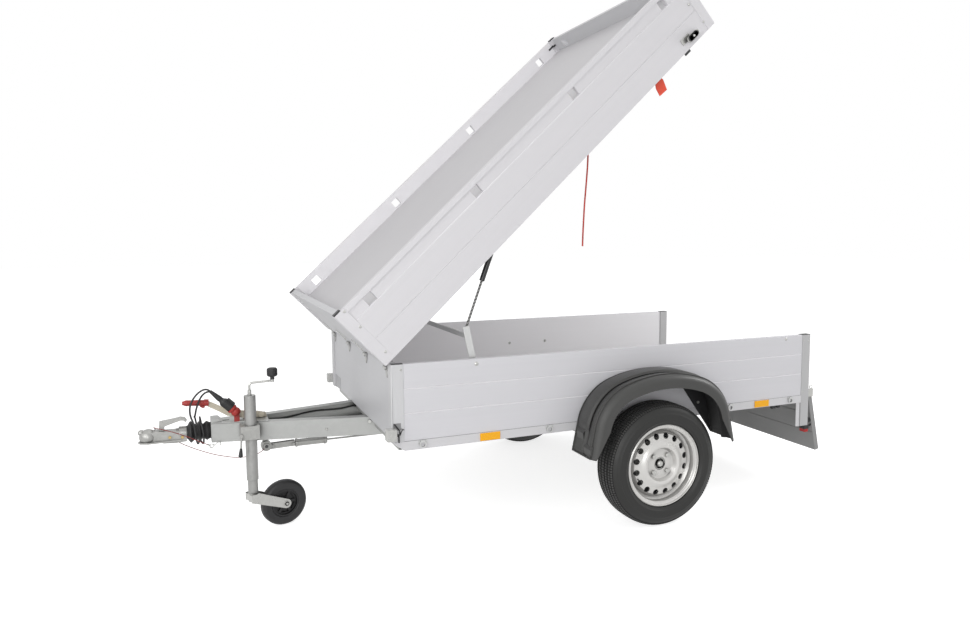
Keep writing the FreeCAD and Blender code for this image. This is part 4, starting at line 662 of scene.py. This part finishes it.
def makeTyre(side, s):
    bm = bmesh.new()
    x, y, z = s["centre"]
    half = s["half"] + s["liner"]
    section = [(r, w) for r, w in half] + [(r, -w) for r, w in reversed(half)]
    ring = [bm.verts.new((x, side * y + w / 1000, z + r / 1000)) for r, w in section]
    edges = [bm.edges.new((a, b)) for a, b in zip(ring, ring[1:] + ring[:1])]
    bmesh.ops.spin(bm, geom=ring + edges, cent=(x, side * y, z), axis=(0, 1, 0), angle=2 * math.pi,
                   steps=s["steps"], use_merge=True, use_duplicate=False)
    bmesh.ops.remove_doubles(bm, verts=bm.verts, dist=copying["mergeWithin"])
    bmesh.ops.recalc_face_normals(bm, faces=bm.faces)
    blocks = []
    for face in bm.faces:
        c = face.calc_center_median()
        out = Vector((c.x - x, 0, c.z - z))
        onTread = out.length > s["treadFrom"] and abs(c.y - side * y) < s["treadHalf"]
        outward = face.normal.dot(out.normalized()) > s["treadOutward"]
        if onTread and outward and face.calc_area() > s["blockArea"]:
            blocks.append(face)
    # The gaps round the blocks are painted darker as painted shade, and the blocks' tops lighter as painted
    # highlight
    rims = bmesh.ops.inset_individual(bm, faces=blocks, thickness=s["gap"], depth=s["height"])
    for face in rims["faces"]:
        face.material_index = s["finishes"].index("tyreGrooveShade")
    for face in blocks:
        face.material_index = s["finishes"].index("tyreBlockHighlight")
    mesh = bpy.data.meshes.new("roadTyre")
    bm.to_mesh(mesh)
    bm.free()
    mesh.set_sharp_from_angle(angle=s["crease"])
    piece = bpy.data.objects.new("roadTyre" + ("Left" if side > 0 else "Right"), mesh)
    bpy.context.scene.collection.objects.link(piece)
    for finishName in s["finishes"]:
        mesh.materials.append(finishes[finishName])
    node = "tyre_left" if side > 0 else "tyre_right"
    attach(piece, bodyOf[node])
    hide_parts(node)
    return piece


tyres = [makeTyre(side, tyre) for side in (1, -1)]
print("tyres:", len(tyres[0].data.polygons), "faces each")


# Small fixings and trim, in millimetres counted from the point under the wheels' axis

trim = {}
trimCrease = math.radians(40)


# The mesh that collects the small parts of one body in one finish
def trimOf(body, finishName):
    key = (body, finishName)
    if key not in trim:
        trim[key] = bmesh.new()
    return trim[key]


def inFrame(p):
    return Vector((p[0] / 1000 - originX, p[1] / 1000, p[2] / 1000))


def mirror(p, side):
    return (p[0], side * p[1], p[2])


# Faces between closed rings of vertices, and a face on each end
def joinRings(bm, rings, capped=True):
    for first, second in zip(rings, rings[1:]):
        for i in range(len(first)):
            j = (i + 1) % len(first)
            bm.faces.new((first[i], first[j], second[j], second[i]))
    if capped:
        bm.faces.new(rings[0][::-1])
        bm.faces.new(rings[-1])


# A domed head: where it sits, the way it faces, its radius and height, and how far its top narrows
def addHead(bm, place, facing, radius, height, sides=12, top=0.6):
    turn = Vector(facing).to_track_quat("Z", "Y").to_matrix().to_4x4()
    at = Matrix.Translation(inFrame(place) + Vector(facing).normalized() * height / 2000) @ turn
    bmesh.ops.create_cone(bm, cap_ends=True, segments=sides, radius1=radius / 1000,
                          radius2=radius * top / 1000, depth=height / 1000, matrix=at)


def addBlock(bm, low, high, lean=0.0):
    a, b = inFrame(low), inFrame(high)
    size = [abs(v) for v in b - a]
    turn = Matrix.Rotation(math.radians(lean), 4, "Y")
    at = Matrix.Translation((a + b) / 2) @ turn @ Matrix.Diagonal((*size, 1))
    bmesh.ops.create_cube(bm, size=1.0, matrix=at)


# A flat ring facing along y
def addRing(bm, place, inner, outer, thick, sides=64):
    middle = inFrame(place)
    turns = [2 * math.pi * i / sides for i in range(sides)]
    rings = []
    for r, y in ((inner, -thick), (outer, -thick), (outer, thick), (inner, thick)):
        offsets = [Vector((r * math.cos(t), y / 2, r * math.sin(t))) / 1000 for t in turns]
        rings.append([bm.verts.new(middle + offset) for offset in offsets])
    joinRings(bm, rings + rings[:1], capped=False)


# A round bar swept along points, closed at both ends
def addTube(bm, points, radius, sides=8):
    route = [inFrame(p) for p in points]
    turns = [2 * math.pi * i / sides for i in range(sides)]
    rings = []
    for k, p in enumerate(route):
        ahead = (route[min(k + 1, len(route) - 1)] - route[max(k - 1, 0)]).normalized()
        across = ahead.cross(Vector((0, 1, 0)) if abs(ahead.y) < 0.9 else Vector((1, 0, 0))).normalized()
        over = ahead.cross(across)
        offsets = [(across * math.cos(t) + over * math.sin(t)) * radius / 1000 for t in turns]
        rings.append([bm.verts.new(p + offset) for offset in offsets])
    joinRings(bm, rings)


# Point on the open lid: u back from its front end and v up from its lower edge
def lidPlace(u, v, y):
    up = box["lidEdge"] + v
    return (box["front"] - math.cos(lidTilt) * u + math.sin(lidTilt) * up, y,
            box["hingeZ"] + math.sin(lidTilt) * u + math.cos(lidTilt) * up)


beam = {"tip": 1790, "half": 42, "spread": 0.2466, "facing": (0.24, 1, 0)}


# Outer face of a drawbar beam
def beamSide(x):
    return beam["half"] + beam["spread"] * (beam["tip"] - x)


# Small parts of the body, the drawbar and the wheels. Each row names a body and a finish. A head then gives
# its place, the way it faces, its radius, height, number of sides and narrowing, a block two corners and its
# lean, and a tube its radius and points. The rows under "pair" also go on the far side.
fork = {"body": bodyOf["jockey_fork"], "facing": (-0.292, 0.956, 0)}
heads = {
    "pair": [
        ("chassis", "zinc_plated", (806, 658, 759), (0, 1, 0), 9, 2.5),
        ("chassis", "zinc_plated", (-828, 658, 763), (0, 1, 0), 8, 2.5),
        ("chassis", "zinc_plated", (1119, 660, 757), (0, 1, 0), 5, 2.5),
        ("chassis", "zinc_plated", (-943, 660, 752), (0, 1, 0), 3.2, 1.8),
        ("chassis", "zinc_plated", (-943, 660, 490), (0, 1, 0), 3.2, 1.8),
        ("chassis", "zinc_plated", (-975, 660, 745), (0, 1, 0), 3.2, 1.8),
        ("chassis", "zinc_plated", (1328, beamSide(1328), 428), beam["facing"], 6, 3),
        ("chassis", "zinc_plated", (1147, beamSide(1147) + 1, 455), beam["facing"], 9, 7, 6, 0.9),
        ("chassis", "zinc_plated", (-293, 664, 497), (0, 1, 0), 8, 5, 6, 0.9),
    ],
    "single": [
        ("chassis", "zinc_plated", (128, -633, 638), (0, 1, 0), 8, 5),
        ("chassis", "zinc_plated", (-104, -633, 638), (0, 1, 0), 8, 5),
        ("chassis", "yellowZinc", (1950, 25, 431), (0, 1, 0), 6.5, 4, 6, 0.95),
        ("chassis", "yellowZinc", (1902, 25, 427), (0, 1, 0), 6.5, 4, 6, 0.95),
        ("chassis", "castZinc", (1452, 14, 342), (0, 1, 0), 7, 6, 6, 0.95),
        ("chassis", "castZinc", (1540, 14, 342), (0, 1, 0), 7, 6, 6, 0.95),
        ("chassis", "castZinc", (1568, 26, 347), (0, 1, 0), 15, 5, 24, 0.9),
        ("chassis", "darkSteel", (1568, 31, 347), (0, 1, 0), 8, 4, 6, 0.9),
        ("chassis", "castZinc", (1308, 0, 342), (1, 0, 0), 19, 8, 28, 1),
        ("chassis", "castZinc", (1434, 0, 342), (1, 0, 0), 19, 8, 28, 1),
        (fork["body"], "zinc_plated", (1498.6, 105.6, 100), fork["facing"], 13, 2, 24, 0.95),
        (fork["body"], "black_plastic", (1498.0, 107.5, 100), fork["facing"], 9.5, 1.4, 24, 1),
        (fork["body"], "zinc_plated", (1497.6, 108.8, 100), fork["facing"], 5.5, 3, 16, 0.8),
        ("wheel_left", "black_rubber", (118, 782, 219), (0, 1, 0), 4, 26, 12, 0.7),
    ],
}
blocks = {
    "pair": [
        ("chassis", "greyPlate", (1123.5, 659.6, 518), (1153.5, 660.8, 546.5)),
        ("chassis", "black_plastic", (-997.6, 619.4, 290), (-968.4, 655.6, 312)),
    ],
    "single": [
        ("chassis", "palePlate", (1152.5, -598, 478), (1153.8, -452, 538)),
        ("chassis", "black_plastic", (-776, 640, 417), (-754, 655, 432)),
        ("chassis", "black_plastic", (-803, 640, 419), (-787, 655, 434)),
        ("chassis", "castZinc", (1446, -14, 330), (1560, -8, 354), 2),
        ("chassis", "castZinc", (1446, 8, 330), (1560, 14, 354), 2),
    ],
}
tubes = {
    "pair": [
        ("chassis", "black_plastic", 2.4, [(1150, 663, 545), (1139, 663, 530), (1129, 663, 516),
                                           (1128, 663, 500)]),
        ("chassis", "black_plastic", 1.8, [(1128, 664, 498), (1122, 664, 514), (1116, 664, 522),
                                           (1112, 664, 518)]),
    ],
    "single": [
        ("chassis", "black_plastic", 4, [(-1000, 640, 338), (-1002, 640, 306), (-1014, 640, 300),
                                         (-1026, 640, 306), (-1030, 640, 330)]),
    ],
}
ventPlate = {"place": (0, 687, 274), "inner": 97, "outer": 176, "thick": 2}


def addSmallParts():
    for side, kind in ((1, "pair"), (-1, "pair"), (1, "single")):
        for body, finishName, place, facing, *head in heads[kind]:
            addHead(trimOf(body, finishName), mirror(place, side), mirror(facing, side), *head)
        for body, finishName, low, high, *lean in blocks[kind]:
            addBlock(trimOf(body, finishName), mirror(low, side), mirror(high, side), *lean)
        for body, finishName, radius, points in tubes[kind]:
            addTube(trimOf(body, finishName), [mirror(p, side) for p in points], radius)


# Plates behind the wheels' vents, in the dark drum grey that also stands in for the shade inside the wheel
def addVentPlates(s):
    for side in (1, -1):
        addRing(trimOf("chassis", "drumGrey"), mirror(s["place"], side), s["inner"], s["outer"], s["thick"])


# On the lid: screws by their u and v, strips at its far rear end with their half thickness, and two locks,
# each a dark oval rose with a bright ring and a pale knob on its handle
lidParts = {
    "screws": [(42, 263), (42, 180), (40, 41), (2069, 41), (2056, 144)],
    "screw": (6, 2.4),
    "strips": [(2062, 242, -633, 1), (2089, 242, -612, 4)],
    "stripHalf": (5, 20),
    "rose": [("zinc_plated", (1970, 35, 676), (14, 2.5, 24, 0.97)),
             ("darkSteel", (1972, 34, 678), (10.5, 2.5, 24, 0.95))],
    "roseSteps": [4.6 * k for k in range(-5, 6)],
    "knob": (1973, 34, 680),
    "knobHead": (5.5, 3.5, 20, 0.8),
}


def addLidParts(s):
    bright = trimOf("lid", "zinc_plated")
    for side in (1, -1):
        facing = (0, side, 0)
        for u, v in s["screws"]:
            addHead(bright, lidPlace(u, v, side * box["side"]), facing, *s["screw"])
        for finishName, (u, v, y), head in s["rose"]:
            for step in s["roseSteps"]:
                addHead(trimOf("lid", finishName), lidPlace(u + step, v, side * y), facing, *head)
        u, v, y = s["knob"]
        addHead(trimOf("lid", "white_plastic"), lidPlace(u, v, side * y), facing, *s["knobHead"])
    wide, high = s["stripHalf"]
    for u, v, y, half in s["strips"]:
        middle, reach = Vector(lidPlace(u, v, y)), Vector((wide, half, high))
        addBlock(trimOf("lid", "darkSteel"), middle - reach, middle + reach, lidTurn[1])


# What is moulded on the mudguards. An arch goes up a leaning leg, round a shoulder and over the top, in that
# many parts. Ridges give their distance from the body's side, their lift and radius. The raised crown gives
# the points of its section by distance from the side, height and share of its rise. Steps and ledges give how
# far up the front leg they are, and their two ends.
guard = {
    "x": -5, "footHalf": 374, "footZ": 347, "topZ": 680, "lean": 12, "shoulder": 235, "leg": 130,
    "parts": (6, 16, 24),
    "ridges": [(4, 0.6, 3.2), (160, 0.6, 3.0)],
    "crown": [(20, -2, 0), (25, -1, 1), (30, 0, 1), (96, 0, 1), (101, -1, 1), (106, -2, 0)],
    "crownRise": 9, "crownFrom": 100,
    "steps": [(3, 8, 168)], "stepRadius": 4.6,
    "ledges": [(92, 26, 84), (40, 112, 170)], "ledgeSection": ((16, -2), (0, 10), (-34, -2)),
}


# Points along the arch with the way outward from it
def guardArch(s):
    def ray(a):
        return Vector((math.cos(a), 0, math.sin(a)))

    inLeg, inShoulder, inTop = s["parts"]
    lean = math.radians(s["lean"])
    up = Vector((-math.sin(lean), 0, math.cos(lean)))
    foot = Vector((s["x"] + s["footHalf"], 0, s["footZ"]))
    centre = foot + up * s["leg"] - ray(lean) * s["shoulder"]
    dx, k = centre.x - s["x"], s["shoulder"] + centre.z - s["topZ"]
    crown = s["shoulder"] - (dx ** 2 + k ** 2) / (2 * k)
    hub = Vector((s["x"], 0, s["topZ"] - crown))
    join = math.atan2(centre.z - hub.z, centre.x - hub.x)
    points = [(foot + up * s["leg"] * t / inLeg, ray(lean)) for t in range(inLeg)]
    for t in range(inShoulder + 1):
        a = lean + (join - lean) * t / inShoulder
        points.append((centre + ray(a) * s["shoulder"], ray(a)))
    for t in range(1, inTop + 1):
        a = join + (math.pi / 2 - join) * t / inTop
        points.append((hub + ray(a) * crown, ray(a)))
    rear = [(Vector((2 * s["x"] - p.x, 0, p.z)), Vector((-n.x, 0, n.z))) for p, n in reversed(points[:-1])]
    return points + rear


# Point on a front leg: up along it, out from it and across from the body's side
def onLeg(s, side, up, out, across):
    lean = math.radians(s["lean"])
    x = s["x"] + s["footHalf"] - math.sin(lean) * up + math.cos(lean) * out
    z = s["footZ"] + math.cos(lean) * up + math.sin(lean) * out
    return (x, side * (box["side"] + across), z)


def addRidges(s, side):
    bm = trimOf("chassis", "mudguard_plastic")
    for y, lift, radius in s["ridges"]:
        across = Vector((0, side * (box["side"] + y), 0))
        addTube(bm, [p + n * lift + across for p, n in guardArch(s)], radius)
    for up, y0, y1 in s["steps"]:
        addTube(bm, [onLeg(s, side, up, 0, y) for y in (y0, (y0 + y1) / 2, y1)], s["stepRadius"])
    for up, y0, y1 in s["ledges"]:
        ends = [[bm.verts.new(inFrame(onLeg(s, side, up + rise, out, y))) for rise, out in s["ledgeSection"]]
                for y in (y0, y1)]
        joinRings(bm, ends)


# Raised crown along the arch, ending in a slope above both feet
def addCrown(s, side):
    bm = trimOf("chassis", "mudguard_plastic")
    arch = [(p, n) for p, n in guardArch(s) if p.z > s["footZ"] + s["crownFrom"]]
    rings = []
    for k, (p, n) in enumerate(arch):
        rise = 0 if k in (0, len(arch) - 1) else s["crownRise"]
        ring = [(p + n * (h + rise * share), side * (box["side"] + y)) for y, h, share in s["crown"]]
        rings.append([bm.verts.new(inFrame((q.x, y, q.z))) for q, y in ring])
    joinRings(bm, rings)


# Flat stay in each mudguard's rear leg: how far it lies under the arch and behind its middle, its corner at
# the foot, its inner corner and the drop to it, and its two faces
stay = {"under": 6, "behind": 150, "foot": (-369, 0, 349), "inner": -165, "drop": 20, "faces": (661, 664)}


def addStay(s, side, arch):
    bm = trimOf("chassis", "black_plastic")
    skin = [p - n * s["under"] for p, n in arch if p.x < guard["x"] - s["behind"]]
    edge = [Vector(s["foot"])] + skin[::-1] + [Vector((s["inner"], 0, skin[0].z - s["drop"]))]
    joinRings(bm, [[bm.verts.new(inFrame((p.x, side * y, p.z))) for p in edge] for y in s["faces"]])


addSmallParts()
addVentPlates(ventPlate)
addLidParts(lidParts)
for side in (1, -1):
    addRidges(guard, side)
    addCrown(guard, side)
    addStay(stay, side, guardArch(guard))
for (body, finishName), bm in trim.items():
    mesh = bpy.data.meshes.new("trim" + body + finishName)
    bmesh.ops.recalc_face_normals(bm, faces=bm.faces)
    bm.to_mesh(mesh)
    bm.free()
    mesh.set_sharp_from_angle(angle=trimCrease)
    mesh.materials.append(finishes[finishName])
    piece = bpy.data.objects.new(mesh.name, mesh)
    bpy.context.scene.collection.objects.link(piece)
    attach(piece, body)
print("trim pieces:", len(trim))


# Studio: a floor that the camera and glossy surfaces see white, soft lamps and a pale world

studio = {
    "floorSize": 60.0,
    "floorColour": (0.75, 0.75, 0.75),
    "floorRough": 0.9,
    "floorGlow": 0.74,
    "skyLight": 0.60,
    "white": (1, 1, 1, 1),
    "aim": (0, 0, 0.7),
    "lamps": {
        "key": {"place": (4.8, 3.6, 2.8), "size": 4.0, "power": 112},
        "low": {"place": (2.4, 6.4, 1.6), "size": 3.0, "power": 80},
        "rear": {"place": (-3.4, 1.1, 2.3), "size": 1.6, "power": 36},
        "top": {"place": (-0.6, 0.2, 6.0), "size": 5.0, "power": 38},
    },
}


# 1 where the camera, a reflection or glass looks, 0 for light that falls on things
def seenBy(tree, *rays):
    path = tree.nodes.new("ShaderNodeLightPath")
    source = path.outputs[rays[0]]
    for ray in rays[1:]:
        most = tree.nodes.new("ShaderNodeMath")
        most.operation = "MAXIMUM"
        tree.links.new(source, most.inputs[0])
        tree.links.new(path.outputs[ray], most.inputs[1])
        source = most.outputs[0]
    return source


def makeFloor(s):
    bm = bmesh.new()
    bmesh.ops.create_grid(bm, x_segments=1, y_segments=1, size=s["floorSize"] / 2)
    mesh = bpy.data.meshes.new("studioFloor")
    bm.to_mesh(mesh)
    bm.free()
    ground = bpy.data.objects.new("studioFloor", mesh)
    bpy.context.scene.collection.objects.link(ground)
    material = bpy.data.materials.new("studioFloor")
    material.use_nodes = True
    tree = material.node_tree
    shader = tree.nodes["Principled BSDF"]
    shader.inputs["Base Color"].default_value = (*s["floorColour"], 1)
    shader.inputs["Roughness"].default_value = s["floorRough"]
    shader.inputs["Specular IOR Level"].default_value = 0.0
    shader.inputs["Emission Color"].default_value = s["white"]
    level = tree.nodes.new("ShaderNodeMath")
    level.operation = "MULTIPLY"
    level.inputs[1].default_value = s["floorGlow"]
    tree.links.new(seenBy(tree, "Is Camera Ray"), level.inputs[0])
    tree.links.new(level.outputs[0], shader.inputs["Emission Strength"])
    white = addNode(tree, "ShaderNodeEmission", Strength=1.0)
    mix = tree.nodes.new("ShaderNodeMixShader")
    tree.links.new(seenBy(tree, "Is Glossy Ray", "Is Transmission Ray"), mix.inputs[0])
    tree.links.new(shader.outputs[0], mix.inputs[1])
    tree.links.new(white.outputs[0], mix.inputs[2])
    tree.links.new(mix.outputs[0], tree.nodes["Material Output"].inputs["Surface"])
    mesh.materials.append(material)


def makeSky(s):
    world = bpy.data.worlds.new("studio")
    bpy.context.scene.world = world
    world.use_nodes = True
    tree = world.node_tree
    back = tree.nodes["Background"]
    level = addNode(tree, "ShaderNodeMapRange", **{"To Min": s["skyLight"], "To Max": 1.0})
    seen = seenBy(tree, "Is Camera Ray", "Is Glossy Ray", "Is Transmission Ray")
    tree.links.new(seen, level.inputs["Value"])
    back.inputs["Color"].default_value = s["white"]
    tree.links.new(level.outputs["Result"], back.inputs["Strength"])


def addLamp(name, s, aim):
    data = bpy.data.lights.new(name, "AREA")
    data.shape = "DISK"
    data.size = s["size"]
    data.energy = s["power"]
    lamp = bpy.data.objects.new(name, data)
    bpy.context.scene.collection.objects.link(lamp)
    lamp.location = s["place"]
    lamp.rotation_euler = (Vector(aim) - Vector(s["place"])).to_track_quat("-Z", "Y").to_euler()


makeFloor(studio)
makeSky(studio)
for name, s in studio["lamps"].items():
    addLamp(name, s, studio["aim"])
bpy.context.scene.view_settings.view_transform = "Standard"
print("studio set")
